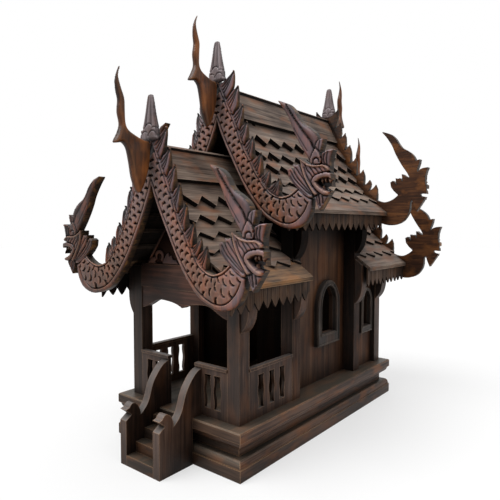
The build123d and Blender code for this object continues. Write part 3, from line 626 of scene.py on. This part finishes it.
def carveFins(field, spine, tips, shape):
    # each fin is a flame that starts along the spine, rises to its tip and drops straight behind it
    for i in range(len(tips) - 1, -1, -1):
        tip = tips[i]
        after = tips[i + 1] if i + 1 < len(tips) else tip + shape["nextTip"]
        start = spine[np.hypot(*(spine - (tip - shape["behindTip"])).T).argmin()]
        heel = np.array([min(tip[0] + shape["heelReach"], after[0] - shape["heelGap"]),
                         after[1] - shape["heelDrop"]])
        end = spine[np.hypot(*(spine - (heel - shape["heelRoot"])).T).argmin()]
        lean = (tip - start) / np.hypot(*(tip - start))
        side = np.array([lean[1], -lean[0]])
        front = [start - lean, (start + tip) / 2 + side * shape["frontBulge"], tip]
        back = [tip, tip * 0.55 + heel * 0.45 + shape["backBulge"], heel, end + shape["rootEnd"]]
        outline = np.vstack([smoothLine(front)[:-1], smoothLine(back)])
        grooves = []
        for share in shape["grooves"]:
            foot = start * (1 - share) + end * share
            top = tip * 0.84 + (heel * 0.7 + start * 0.3) * 0.16 + side * (share - 0.45) * shape["fan"]
            bow = (foot + top) / 2 + side * shape["grooveBulge"]
            grooves.append((smoothLine([foot + (top - foot) * 0.08, bow, top]), *shape["grooveSize"]))

        def thinning(x, v, foot=(start + end) / 2, rise=tip - (start + end) / 2):
            # the fin grows thinner from its root to its tip
            reach = ((x - foot[0]) * rise[0] + (v - foot[1]) * rise[1]) / (rise @ rise)
            return -shape["thins"] * np.clip(reach, 0, 1)
        layPlate(field, outline, shape["level"] + shape["stagger"] * (i % 2), crown=1.8, edge=2.4,
                 grooves=grooves, cut=2.8, tone=0.38, slope=thinning)


# Leaves of the head, laid from the back to the front. Form is the level of a leaf's face, how far
# it drops towards the outline and over what width. A groove or bead is a line, its depth or height
# and its width.
headLeaves = {
    "face": {"form": (13.6, 2.6, 4.0),
        "outline": "205 -203  210 -202  213 -210  219 -223  227 -211  238 -194  241 -188  239.5 -176  "
            "237 -160  237 -148  230 -142  205 -142  190 -170  195 -196",
        "grooves": [("217.5 -198  219 -206  220 -215", 3.0, 1.2),
            ("224 -200  225 -206  224.5 -211", 2.8, 1.1), ("212 -198  214.5 -205  217 -213", 1.6, 1.0)]},
    "crest": {"form": (14.8, 3.0, 6.0), "smooth": True,
        "outline": "139 -45  149 -47.5  160 -52.5  170 -62  177 -73  185 -83  196 -89.5  206 -97  "
            "213 -106  216 -118  212 -134  204 -148  197 -138  187 -124  177 -108  169 -93  163 -79  "
            "155 -66  147 -55",
        "grooves": [("157 -54  168 -67  176 -80  187 -91  196 -100  202 -109  206 -120", 1.6, 0.6),
            ("172 -92  184 -110  197 -128", 0.7, 1.2)]},
    # painted shade: the far facet of the crest is painted darker
    "crestFacet": {"form": (14.6, 4.0, 8.0), "smooth": True, "tone": 0.2, "cut": 0,
        "outline": "155 -53  160 -52.5  170 -62  177 -73  185 -83  196 -89.5  206 -97  213 -106  "
            "216 -118  212 -134  210 -130  202 -113  188 -97  171 -75.5"},
    "rearSpike": {"form": (14.2, 0.8, 1.4),
        "outline": "212 -134  211 -124  214 -116  218.5 -112  225 -111  223.5 -120  218.5 -134  "
            "221 -148  206 -148",
        "grooves": [("219 -114  217.5 -126  217 -142", 1.6, 0.9)]},
    # its low tone is painted shade on the nose horn
    "noseHorn": {"form": (14.4, 2.2, 3.0), "tone": 0.26,
        "outline": "219 -150  220 -139  225 -132.5  232 -130  243 -129  239.5 -138  237 -148  237 -160  "
            "228 -158",
        "grooves": [("228 -133  226 -143  229 -154", 2.2, 1.2),
            ("233.5 -132  231.5 -143  233 -155", 1.6, 1.0)],
        "beads": [("225 -134.5  232 -131.5  241 -130.5", 1.2, 1.2)]},
    "tearDrop": {"form": (16.2, 1.4, 2.2),
        "outline": "212 -125  217.5 -131  221 -138  222 -148  216 -152  203 -150  203 -141  207 -133",
        "grooves": [("208 -148  209 -143  213 -140.5  217.5 -142  219 -147", 3.0, 1.2)]},
    "gillRear": {"form": (14.8, 1.8, 2.8),
        "outline": "159 -158  165 -154.5  171 -160  178 -169  187 -178  197 -186  207 -194  206 -202  "
            "200 -202  190 -196  178 -187  168 -178  161 -169",
        "grooves": [("165 -160  172 -171  182 -181  194 -191  203 -197", 2.2, 1.1),
            ("164 -168  174 -180  186 -190  197 -197", 1.2, 0.9)]},
    "gillFront": {"form": (15.8, 1.8, 2.8),
        "outline": "171 -149  176 -151  181 -149  187 -157  194 -168  204 -180  212 -190  210 -198  "
            "203 -193  191 -182  180 -171  173 -160",
        "grooves": [("176 -155  184 -165  194 -177  206 -191", 2.2, 1.1)]},
    "brow": {"form": (16.6, 1.6, 2.2),
        "outline": "185 -140  191 -144  197 -147.5  204.5 -150  213 -151.8  223 -151.3  230 -152.8  "
            "235 -155.5  237.5 -161  232 -163.5  224 -164  214 -167  207.5 -172  206 -180  212 -189  "
            "217 -196  212 -199  204 -189  197 -178  191 -166  187 -155",
        "grooves": [("194 -150  198 -159  204 -165  208 -171", 2.6, 1.1),
            ("203 -154.5  208 -161  212 -167", 2.4, 1.0),
            ("211 -155.5  215.5 -160  219 -165", 2.2, 1.0),
            ("219.5 -155.5  224 -160.5  226 -163", 2.0, 0.9), ("227.5 -156  231 -160.5", 1.6, 0.9),
            ("192 -154  197 -167  203 -177  208 -185", 2.0, 1.0)],
        "beads": [("186 -141.5  197 -149  204.5 -151.5  213 -153.2  223 -152.8  230 -154.2  "
             "236 -158.5", 2.0, 1.3),
            ("186.5 -143  189 -155  193 -166  199 -177  206 -187.5  212 -196", 1.6, 1.2)]},
    # painted shade: the floor of the mouth is painted black
    "mouthFloor": {"form": (6.0, 0.5, 1.2), "tone": 0.0, "cut": 0,
        "outline": "213 -177.5  219.6 -173  224.6 -171.3  229.5 -170.4  234.4 -170.6  240 -172  "
            "239.5 -188  236 -193.5  229.5 -191.5  223.8 -188  218.8 -183.8"},
    # painted highlight: the teeth are painted nearly white
    "rearTooth": {"form": (12.5, 1.0, 1.6), "tone": 0.95, "cut": 0,
        "outline": "219.5 -172  225.5 -171  223.5 -180.5"},
    "middleTooth": {"form": (12.5, 1.0, 1.6), "tone": 0.95, "cut": 0,
        "outline": "226 -171  231.8 -170.5  230 -180"},
    "frontTooth": {"form": (12.5, 1.0, 1.6), "tone": 0.95, "cut": 0,
        "outline": "232.4 -170.5  239 -171.5  237 -180.5"},
    "lowTooth": {"form": (12.5, 1.0, 1.6), "tone": 0.95, "cut": 0,
        "outline": "222.5 -188  228 -191  225.8 -183"},
    "lips": {"form": (17.6, 2.0, 3.2),
        "outline": "206 -176  208.5 -171  213 -167.5  219.6 -165.3  229.5 -163.7  236 -164.2  "
            "240.5 -166.5  240.5 -174.5  236 -171.5  229.5 -170.8  224.6 -171.6  218.6 -173.4  "
            "213.2 -177.6  217.5 -183.3  223.2 -187.8  229.2 -191.3  236.5 -193.3  236 -197.2  "
            "232 -199  226 -198  219.6 -194  213 -188.5  207.8 -181.5"},
}
# Cut right through the board: the open mouth, and the slot between the beard and the chest
headHoles = [
    places("227 -186.5  230 -184.8  252 -186.5  252 -192.5  238 -192  230 -190"),
    places("205.5 -203.5  207 -199  209.5 -198.5  211 -203  213 -210  208 -209"),
]


def carveNaga(tips, carving):
    field = newField((-2, -262), (250, 34), carving["cell"])
    spine = carveBody(field, carving)
    carveFins(field, spine, tips, finShape)
    for leaf in headLeaves.values():
        outline = places(leaf["outline"])
        outline = smoothLine(outline, 1.5, closed=True) if "smooth" in leaf else outline
        grooves, beads = ([(smoothLine(places(line), 1.5), size, width)
                           for line, size, width in leaf.get(kind, ())] for kind in ("grooves", "beads"))
        layPlate(field, outline, *leaf["form"], grooves, beads, leaf.get("cut", 2.0), leaf.get("tone", 0.5))
    for hole in headHoles:
        field.gap = np.maximum(field.gap, -outlineDistance(field.x, field.v, hole))
    # the two boards of a gable meet on its middle line
    field.gap = np.maximum(field.gap, -field.x)
    # behind the spine the fins are cut back from the rear face too
    toSpine, _ = lineDistance(field.x, field.v, spine)
    below = np.vstack([spine, [(178, -400), (-60, -400), (-60, 10)]])
    onFin = (outlineDistance(field.x, field.v, below) > 0) & (field.x < 131)
    back = np.where(onFin, np.clip(0.22 * (toSpine - 3), 0, carving["backBevel"]), 0)
    return slabMesh(field, back)


carvedLow = carveNaga(finTips["low"], nagaCarving)
carvedHigh = carveNaga(finTips["high"], nagaCarving)
print("nagas carved", len(carvedLow[1]), len(carvedHigh[1]))

# Each gable: its carving, how much lower its heads hang, how much further out the right and the
# left one reach, each with where its stretch begins, and how far its horn leans back to the roof
gables = {
    "porch": (carvedLow, 0, {"right": (-12, 40), "left": (16, 130)}, 0),
    "main_front": (carvedHigh, 12, {"right": (-2, 40), "left": (0, 40)}, 9),
    "main_rear": (carvedLow, 4, {"right": (6, 40), "left": (6, 40)}, 9),
    "wing": (carvedLow, 5, {"right": (2, 40), "left": (2, 40)}, 4),
}
# How far the highest fin stands above the ridge, and over what width heads droop and reach out
apexAbove, droopFrom, droopOver, stretchOver = 26, 40, 160, 110
gablePlace = {}
for gable, (carving, droop, reaches, lean) in gables.items():
    low, high = np.array(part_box(gable + "_naga_right")) / mm
    outward = -1 if "porch" in gable or "front" in gable else 1
    back = high[1] if outward < 0 else low[1]
    ridge, label = high[2] - apexAbove, gable.replace("_", "-")
    gablePlace[label] = (gable, back, outward, ridge, lean)
    carved, faces, relief, marks = carving
    for side, sign in (("right", 1), ("left", -1)):
        x, v, height = carved.T
        reach, stretchFrom = reaches[side]
        v = v - droop * np.clip((x - droopFrom) / droopOver, 0, 1)
        x = x + reach * np.clip((x - stretchFrom) / stretchOver, 0, 1)
        points = np.column_stack([sign * x, back + outward * height, ridge + v])
        makePiece(label + "-naga-" + side, points, faces if sign * outward < 0 else faces[:, ::-1],
                  ["carvedTeak", "plainBackTeak", "sawnSideTeak"], [gable + "_naga_" + side],
                  relief, 55, marks)
print("nagas placed")


# Roofs: rows of lapped boards with a sawn zigzag along their lower edge. A section is pairs of a
# distance from the middle and a height below the ridge. A row is the heights of the inner and outer
# ends of its teeth and the place of one tip along the roof; tipShare is where a tip stands between
# two valleys.
roofRows = {
    "thickness": 8.0,
    "step": 8.5,         # how far a row's lower edge stands off the row below
    "lap": 10.0,         # how far a row runs on up under the one above
    "skirtLift": 5.0,    # how far the last teeth stand off the plain boards at the eave
    "slack": 1.4,        # uneven sawing along the roof, and as a share of a tooth down it
    "toothSlack": 0.03,
    "bedding": 0.3,      # how far the faces of boards that lie flush are let in, against flicker
    "deepest": 16.0,     # how far in a row's hidden upper edge may lie
    "main": {"pitch": 43.5, "tipShare": 0.38,
             "section": [(0, 0), (42, 80), (116, 195.5), (158, 228)],
             "ridgeBoard": 60.0,
             "rows": [(86, 105, 3.5), (118, 135.5, 20.0), (143, 159, 37.0), (174.5, 186.5, 31.0),
                      (197.5, 208, 8.5)]},
    "low": {"pitch": 43.5, "tipShare": 0.52,
            "section": [(0, 0), (85, 148), (121, 190.5), (163, 221)],
            "ridgeBoard": 57.0,
            "rows": [(80, 98, -224.0), (112, 126.5, -243.0), (138, 152, -217.0), (165.5, 175, -240.0),
                     (191, 203, -130.0)]},
}
wingTips = [-9.0, -3.0, 303.0, 278.0, 255.0]    # the wing's own first tips, row by row


def onSection(section, fall):
    # distance from the middle at which the roof has fallen that far
    x, drop = zip(*section)
    return np.interp(fall, drop, x)


def boardStrip(topPoint, tipPoint, thickness, y, reach):
    # a flat board between two level lines; y is where it is measured along the roof, and
    # reach how far down the board its lower edge comes there, from 0 at the top to 1 at a tip
    topPoint, tipPoint = np.array(topPoint, dtype=float), np.array(tipPoint, dtype=float)
    down = tipPoint - topPoint
    inwardShade = np.array([down[1], -down[0]])
    inwardShade = inwardShade / np.hypot(*inwardShade) * thickness
    lower = topPoint + reach[:, None] * down
    upper = np.repeat(topPoint[None], len(y), axis=0)
    rings = np.stack([upper, lower, lower + inwardShade, upper + inwardShade], axis=1)
    points = np.concatenate([rings[..., :1], np.broadcast_to(y[:, None, None], (len(y), 4, 1)),
                             rings[..., 1:]], axis=-1).reshape(-1, 3)
    start = 4 * np.arange(len(y) - 1)[:, None]
    faces = [np.hstack([start + k, start + (k + 1) % 4, start + 4 + (k + 1) % 4, start + 4 + k])
             for k in range(4)]
    last = 4 * (len(y) - 1)
    ends = np.array([[3, 2, 1, 0], [last, last + 1, last + 2, last + 3]])
    cut = np.repeat([0, 1, 1, 0], len(y) - 1)
    return points, np.vstack([*faces, ends]), np.r_[cut, 0, 0]


def cutToLength(y, reach, low, high, spare):
    # the part of a sawn edge between two ends, and which of its points were kept
    inside = (y > low + spare) & (y < high - spare)
    ends = np.interp([low, high], y, reach)
    return np.r_[low, y[inside], high], np.r_[ends[0], reach[inside], ends[1]], inside


def makeRoof(name, side, kind, tips):
    node = name + "_roof_" + side
    low, high = np.array(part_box(node)) / mm
    yLow, yHigh, sign = low[1], high[1], 1 if side == "right" else -1
    shape = roofRows[kind]
    section, thickness, pitch = shape["section"], roofRows["thickness"], shape["pitch"]
    slack, toothSlack, bedding = roofRows["slack"], roofRows["toothSlack"], roofRows["bedding"]
    parts = []
    above, aboveTip = shape["ridgeBoard"], shape["ridgeBoard"]
    for k, (valley, tip, firstTip) in enumerate(shape["rows"]):
        firstTip = tips[k] if tips else firstTip
        topFall = max(above - roofRows["lap"], 4.0)
        topX, tipX = onSection(section, topFall), onSection(section, tip)
        normal = np.array([tip - topFall, tipX - topX]) / np.hypot(tip - topFall, tipX - topX)
        depth = bedding + (roofRows["step"] - bedding) * (tip - topFall) / (tip - aboveTip)
        topPoint = np.array([topX, -topFall]) - normal * min(depth, roofRows["deepest"])
        onSkirt = tip > section[2][1]
        tipPoint = np.array([tipX, -tip]) - normal * (-roofRows["skirtLift"] if onSkirt else bedding)
        share = (valley - topFall) / (tip - topFall)
        count = int((yHigh - yLow) / pitch) + 3
        first = firstTip + pitch * np.floor((yLow - firstTip) / pitch)
        tipY = first + pitch * np.arange(count) + rng.uniform(-1, 1, count) * slack
        valleyY = tipY + pitch * (1 - shape["tipShare"]) + rng.uniform(-1, 1, count) * slack
        y = np.column_stack([tipY, valleyY]).ravel()
        reach = np.column_stack([1 + rng.uniform(-1, 0.2, count) * toothSlack,
                                 share + rng.uniform(-1, 1, count) * toothSlack]).ravel()
        y, reach, _ = cutToLength(y, reach, yLow, yHigh, 1.0)
        parts.append(boardStrip(topPoint, tipPoint, thickness, y, reach))
        above, aboveTip = valley, tip
    # plain ridge board over the top of the first row
    edge = shape["ridgeBoard"]
    y = np.linspace(yLow, yHigh, 9)
    parts.append(boardStrip((0, 0), (onSection(section, edge), -edge), thickness, y, np.ones(9)))
    points, faces, cut = joinParts(parts)
    points = points * (sign, 1, 1) + (0, 0, high[2])
    makePiece(name + "-roof-boards-" + side, points, faces[:, ::-1] if sign < 0 else faces,
              ["weatheredRoofTeak", "shadedSawnEdgeTeak"], [node], sharp=20, marks=cut)


for name, kind, tips in (("porch", "low", None), ("main", "main", None), ("wing", "low", wingTips)):
    for side in ("right", "left"):
        makeRoof(name, side, kind, tips)
print("roofs laid")


# Horned finials: carved round, so both faces swell from the outline.
# u is the distance outward from the gable, v the height above the ridge.

finialShape = {
    "cell": 0.8,
    "outline": places("52 107  57.5 97  61 84  60 70  56.5 56  57.5 38  54 20  58 6  65 -8  57 -8  50 -7  "
        "42 -15  37 -34  32 -60  22 -81  12 -70  4 -48  0.2 -30  0.2 -2  14 2  28 7  40 13  45 22  46 40  "
        "46.5 58  52 74  56 88  55 98"),
    "halfThickness": [(-82, 6.0), (-60, 7.0), (2, 7.0), (18, 6.4), (60, 5.6), (88, 3.2), (107, 1.0)],
    "rimHalf": 0.6,         # half the thickness left at the outline
    "roundOver": 4.6,
    "cheekDepth": 1.6,      # a hollow, where its middle is and how wide
    "cheekAt": (34, -6),
    "cheekWidth": 60 ** 0.5,
    "stand": 18.0,          # its flat foot from the back of the nagas
}


def carveFinial(lean):
    shape = finialShape
    u, v = shape["outline"].T
    outline = smoothLine(np.column_stack([u - lean * np.clip(v, 0, None) / v.max(), v]), 1.5, closed=True)
    field = newField((-12, -84), (68, 110), shape["cell"])
    gap = outlineDistance(field.x, field.v, outline)
    half, rim = np.interp(field.v, *zip(*shape["halfThickness"])), shape["rimHalf"]
    top = rim + (half - rim) * swelling(gap, shape["roundOver"])
    # a shallow hollow marks the cheek
    cheek = bell(np.hypot(field.x - shape["cheekAt"][0], field.v - shape["cheekAt"][1]), shape["cheekWidth"])
    field.top = np.maximum(top - shape["cheekDepth"] * cheek, rim)
    # painted shade in the cheek's hollow
    field.gap, field.tone = gap, 0.55 - 0.25 * cheek
    return slabMesh(field, -field.top)


# Spires over the apex of each gable: a ridged leaf with small scales at its foot

spireShape = {
    "cell": 0.9,
    "edge": [(17.5, 3), (18, 11), (17, 20), (14, 31), (11.2, 44), (9, 57), (7.2, 67), (4.2, 74.5)],
    "halfThickness": [(0, 6.0), (24, 6.0), (45, 4.6), (76, 2.0)],
    "rimHalf": 0.8,
    "roundOver": 5.0,
    "scaleRise": 7.0,       # of a scale's round head
    "middleScale": (22.0, 8.5),         # where its head begins, and its half width
    "sideScales": (10.0, 9.0, 8.0),     # the same, with the distance from the middle between
    "fluteDepth": 1.3,
    "fluteAt": 0.42,        # share of the spire's half width
    "rimDepth": 1.2,        # cut round each scale, and its width
    "rimWidth": 1.1,
    "leastHalf": 0.7,
    "stand": 12.0,          # its middle plane from the back of the nagas
}


def carveSpire(shape):
    edge = np.array(shape["edge"], dtype=float)
    outline = smoothLine(np.vstack([edge, edge[::-1] * (-1, 1)]), 1.2, closed=True)
    field = newField((-20, -2), (20, 78), shape["cell"])
    x, v, rim = field.x, field.v, shape["rimHalf"]
    field.gap = outlineDistance(x, v, outline)
    half = np.interp(v, *zip(*shape["halfThickness"]))
    top = rim + (half - rim) * swelling(field.gap, shape["roundOver"])
    # a rib up the middle and a flute on each side, above a row of round-headed scales
    width = np.interp(v, edge[:, 1], edge[:, 0])
    head, half = shape["middleScale"]
    sideHead, sideAt, sideHalf = shape["sideScales"]
    flute = bell(np.abs(x), 0.16 * width + 0.4, shape["fluteAt"] * width) * np.clip((v - head) / 6, 0, 1)
    ring = (bell(v, shape["rimWidth"], head + shape["scaleRise"] * dome(x / half)) +
            bell(v, shape["rimWidth"], sideHead + shape["scaleRise"] * dome((np.abs(x) - sideAt) / sideHalf)))
    top = top - shape["fluteDepth"] * flute - shape["rimDepth"] * ring
    field.top = np.maximum(top, shape["leastHalf"])
    # painted shade in the flutes and the cuts round the scales
    field.tone = np.clip(0.58 - 0.35 * flute - 0.4 * ring, 0, 1)
    return slabMesh(field, -field.top)


spireCarved, spires = carveSpire(spireShape), []
for label, (gable, back, outward, ridge, lean) in gablePlace.items():
    points, faces, relief, _ = carveFinial(lean)
    u, v, height = points.T
    points = np.column_stack([height, back + outward * (finialShape["stand"] + u), ridge + v])
    makePiece(label + "-finial", points, faces if outward > 0 else faces[:, ::-1], ["honeyFinialTeak"],
              [gable + "_finial"], relief, sharp=50)
    points, faces, relief, _ = spireCarved
    x, v, height = points.T
    points = np.column_stack([x, back + outward * (spireShape["stand"] + height), ridge + v])
    spires.append((points, faces if outward < 0 else faces[:, ::-1], relief))
points, faces, relief = joinParts(spires)
makePiece("gable-spires", points, faces, ["silverSpireTeak"], ["gable_spires"], relief,
          sharp=50)
print("finials and spires placed")


# Fringes under the eaves: upright slats, each cut to a leaf point

fringes = {
    "depth": 39.0,       # of a slat, and how much of that is its point
    "point": 15.0,
    "curve": 1.25,       # power of the point's sides, 1 for straight ones
    "thickness": 3.0,
    "seam": 1.1,         # depth of the groove between two slats, and of the line cut in each
    "line": 0.6,
    "uneven": 1.6,       # how far a slat's middle is off its place, and its point above the longest
    "shorter": 1.5,
    # where the slat is measured, from its middle as a share of its half width
    "across": [-1, -0.93, -0.66, -0.62, -0.58, -0.3, 0, 0.3, 0.58, 0.62, 0.66, 0.93],
    "lineAt": 0.62,
    "porch": {"node": "porch_fringes", "slat": 21.8, "firstTip": -215.0},
    "main": {"node": "main_fringes", "slat": 24.2, "firstTip": 25.0},
    "wing": {"node": "wing_fringes", "slat": 20.2, "firstTip": 185.0},
}


def makeFringe(name):
    shape, across = fringes[name], np.array(fringes["across"])
    low, high = np.array(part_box(shape["node"])) / mm
    x, yLow, yHigh, top = high[0], low[1], high[1], high[2]
    parts = []
    for sign in (1, -1):
        count = int((yHigh - yLow) / shape["slat"]) + 3
        first = shape["firstTip"] + shape["slat"] * np.floor((yLow - shape["firstTip"]) / shape["slat"])
        middle = first + shape["slat"] * np.arange(count) + rng.uniform(-1, 1, count) * fringes["uneven"]
        seams = (middle[1:] + middle[:-1]) / 2
        middle = middle[1:-1]
        # across each slat, from one seam to the next, with the same places on every slat
        side = np.where(across < 0, middle[:, None] - seams[:-1, None], seams[1:, None] - middle[:, None])
        y = (middle[:, None] + across * side).ravel()
        depth = fringes["depth"] - rng.uniform(0, fringes["shorter"], len(middle))
        reach = (depth[:, None] - fringes["point"] * np.abs(across) ** fringes["curve"]) / fringes["depth"]
        dip = fringes["seam"] * (across == -1) + fringes["line"] * (np.abs(across) == fringes["lineAt"])
        dip = np.broadcast_to(dip, reach.shape).ravel()
        y, reach, inside = cutToLength(y, np.clip(reach.ravel(), 0.3, 1), yLow, yHigh, 0.5)
        points, faces, cut = boardStrip((x, top), (x, top - fringes["depth"]), fringes["thickness"], y, reach)
        rings = points.reshape(-1, 4, 3)
        rings[:, :2, 0] -= np.r_[0, dip[inside], 0][:, None]
        points = rings.reshape(-1, 3) * (sign, 1, 1)
        parts.append((points, faces[:, ::-1] if sign < 0 else faces, cut))
    points, faces, cut = joinParts(parts)
    makePiece(name + "-fringe-slats", points, faces, ["sawnFringeTeak", "shadedSawnEdgeTeak"],
              [shape["node"]], sharp=20, marks=cut)


for name in ("porch", "main", "wing"):
    makeFringe(name)
print("fringes hung")


# Beads on the window frames: a half-sunk rod round the outer edge and one round the opening

windowBeads = {
    "around": 12,        # faces round a bead
    "headShare": 0.64,   # height of a window's round head as a share of its width
    # how far each bead stands in from the frame's outline at its sides, foot and head
    "hall": {"node": "hall_window_frames", "radius": 1.6, "insets": [(2.6, 2.6, 2.4), (12.4, 20.4, 9.2)]},
    "wing": {"node": "wing_window_frames", "radius": 1.1, "insets": [(1.8, 1.8, 1.6), (7.2, 12.2, 5.4)]},
}


def beadRound(line, x, radius, around):
    # a rod carried round a closed line in y and z: each point of the line plus the radius times
    # the cosine of an angle along the line's normal and its sine along x
    ahead = np.roll(line, -1, axis=0) - np.roll(line, 1, axis=0)
    normal = np.column_stack([ahead[:, 1], -ahead[:, 0]]) / np.hypot(*ahead.T)[:, None]
    angle = np.linspace(0, 2 * np.pi, around, endpoint=False)
    flat = line[:, None] + radius * np.cos(angle)[None, :, None] * normal[:, None]
    depth = np.broadcast_to(x + radius * np.sin(angle), flat.shape[:2])
    points = np.concatenate([depth[..., None], flat], axis=-1).reshape(-1, 3)
    index = np.arange(len(points)).reshape(-1, around)
    ahead = np.roll(index, -1, axis=0)
    faces = np.stack([index, np.roll(index, -1, axis=1), np.roll(ahead, -1, axis=1), ahead], axis=-1)
    return points, faces.reshape(-1, 4), np.zeros(faces[..., 0].size)


for name in ("hall", "wing"):
    beads = windowBeads[name]
    low, high = np.array(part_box(beads["node"])) / mm
    width = high[1] - low[1]
    spring = high[2] - windowBeads["headShare"] * width
    middle = (low[1] + high[1]) / 2
    turn = np.radians(np.arange(180, -1, -6))
    parts = []
    for side, foot, head in beads["insets"]:
        # up one side, over half an ellipse, down the other side and back along the foot
        arch = np.column_stack([middle + (width / 2 - side) * np.cos(turn),
                                spring + (high[2] - spring - head) * np.sin(turn)])
        corners = [(high[1] - side, low[2] + foot), (low[1] + side, low[2] + foot)]
        points, faces, cut = beadRound(np.vstack([arch, corners]), high[0], beads["radius"],
                                       windowBeads["around"])
        parts.append((points, faces[:, ::-1], cut))
        parts.append((points * (-1, 1, 1), faces, cut))
    points, faces, _ = joinParts(parts)
    makePiece(name + "-window-beads", points, faces, ["greyFrameTeak"], [], sharp=50)
print("window beads laid")


# Scrolls on the porch pediment: leaves along its foot and a moulding up each side.
# x is the distance from the middle, v the height above the lintel.

pedimentCarving = {
    "cell": 1.2, "level": 4.0,
    "sunk": 0.5,         # how far the carving is let into the panel
    "leaves": [
        places("-88 0.5  -83 6  -77 11  -69 13  -66 8  -69 4  -66 0.5"),
        places("-49 0.5  -45 9  -39 17  -33 21  -31 14  -25 17  -22 9  -15 8  -7 0.5"),
    ],
    "ring": {"centre": (-57, 13), "outer": 12.0, "inner": 6.0, "from": -50, "to": 215},
    "side": places("-91 0.5  -85.5 0.5  -1 111.6  -1 119"),
}


def carvePediment(carving):
    # each leaf is laid twice, once on either side of the middle; the ring is the part of a circle
    # between two angles, as wide as the difference of its two radii
    field = newField((-94, -1), (94, 122), carving["cell"])
    ring = carving["ring"]
    turn = np.radians(np.linspace(ring["from"], ring["to"], 26))
    circle = np.column_stack([np.cos(turn), np.sin(turn)])
    curl = np.vstack([circle * ring["outer"], circle[::-1] * ring["inner"]]) + ring["centre"]
    for outline in (carving["side"], curl, *carving["leaves"]):
        for sign in (1, -1):
            layPlate(field, outline * (sign, 1), carving["level"], crown=1.6, edge=2.4, tone=0.62)
    return slabMesh(field, np.zeros(field.x.size))


low, high = np.array(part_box("porch_pediment")) / mm
points, faces, relief, _ = carvePediment(pedimentCarving)
x, v, height = points.T
placed = np.column_stack([x, low[1] + pedimentCarving["sunk"] - height, low[2] + v])
makePiece("porch-pediment-scrolls", placed, faces, ["shadedCarvingTeak"], [], relief, sharp=50)
print("pediment carved")


# Floor, light and camera

def seenDirectly(tree):
    # 1 for what is seen straight, in a gloss or through something clear, and 0 where it only lights
    path = addNode(tree, "LightPath")
    seen = addNode(tree, "Math", (path.outputs["Is Camera Ray"], path.outputs["Is Glossy Ray"]),
                   operation="MAXIMUM")
    return addNode(tree, "Math", (seen, path.outputs["Is Transmission Ray"]), operation="MAXIMUM")


studio = {
    "floorColour": "#a0a0a0",
    "floorGlow": 0.56,
    "floorReach": 8,    # metres
    "worldFill": 0.22,
    # each lamp: where it shines from, strength, and how wide it looks from the object in degrees
    "lamps": {"key": ((-0.55, -1.0, 1.7), 2.3, 45), "top": ((0.1, 0.2, 1.0), 1.7, 80),
              "side": ((1.0, -0.35, 0.55), 0.55, 60)},
}
# pale seamless floor: it shows white to the eye, and keeps the shadow that falls on it
paper = bpy.data.materials.new("paleSeamlessPaper")
paper.use_nodes = True
tree = paper.node_tree
shader = tree.nodes["Principled BSDF"]
shader.inputs["Base Color"].default_value = hexColour(studio["floorColour"])
shader.inputs["Roughness"].default_value = 0.9
shader.inputs["Specular IOR Level"].default_value = 0.0
strength = addNode(tree, "Math", (seenDirectly(tree), studio["floorGlow"]), operation="MULTIPLY")
both = addNode(tree, "AddShader", (shader.outputs[0], addNode(tree, "Emission", {"Strength": strength})))
tree.links.new(both.outputs[0], tree.nodes["Material Output"].inputs["Surface"])
floorMesh = bpy.data.meshes.new("floor")
reach = studio["floorReach"]
floorMesh.from_pydata([(-reach, -reach, 0), (reach, -reach, 0), (reach, reach, 0), (-reach, reach, 0)], [],
                      [(0, 1, 2, 3)])
floorMesh.materials.append(paper)
floor = bpy.data.objects.new("floor", floorMesh)
bpy.context.scene.collection.objects.link(floor)

for name, (place, strength, width) in studio["lamps"].items():
    lamp = bpy.data.lights.new(name + "Softbox", "SUN")
    lamp.energy = strength
    lamp.angle = radians(width)
    holder = bpy.data.objects.new(name + "Softbox", lamp)
    holder.rotation_euler = Vector(place).to_track_quat("Z", "Y").to_euler()
    bpy.context.scene.collection.objects.link(holder)

world = bpy.data.worlds.new("studio")
bpy.context.scene.world = world
world.use_nodes = True
tree = world.node_tree
tree.nodes["Background"].inputs["Color"].default_value = (1, 1, 1, 1)
strength = addNode(tree, "Mix", {0: seenDirectly(tree), 2: studio["worldFill"], 3: 1.0}).outputs[0]
tree.links.new(strength, tree.nodes["Background"].inputs["Strength"])

view = {"place": (0.6213, -0.8351, 0.3918), "tilt": 87.212, "turn": 38.885, "lens": 35.69}
camera = bpy.data.cameras.new("camera")
camera.lens = view["lens"]
camera.sensor_width = 36.0
eye = bpy.data.objects.new("camera", camera)
eye.location = view["place"]
eye.rotation_euler = (radians(view["tilt"]), 0, radians(view["turn"]))
bpy.context.scene.collection.objects.link(eye)
bpy.context.scene.camera = eye
bpy.context.scene.view_settings.view_transform = "Standard"
print("studio ready")
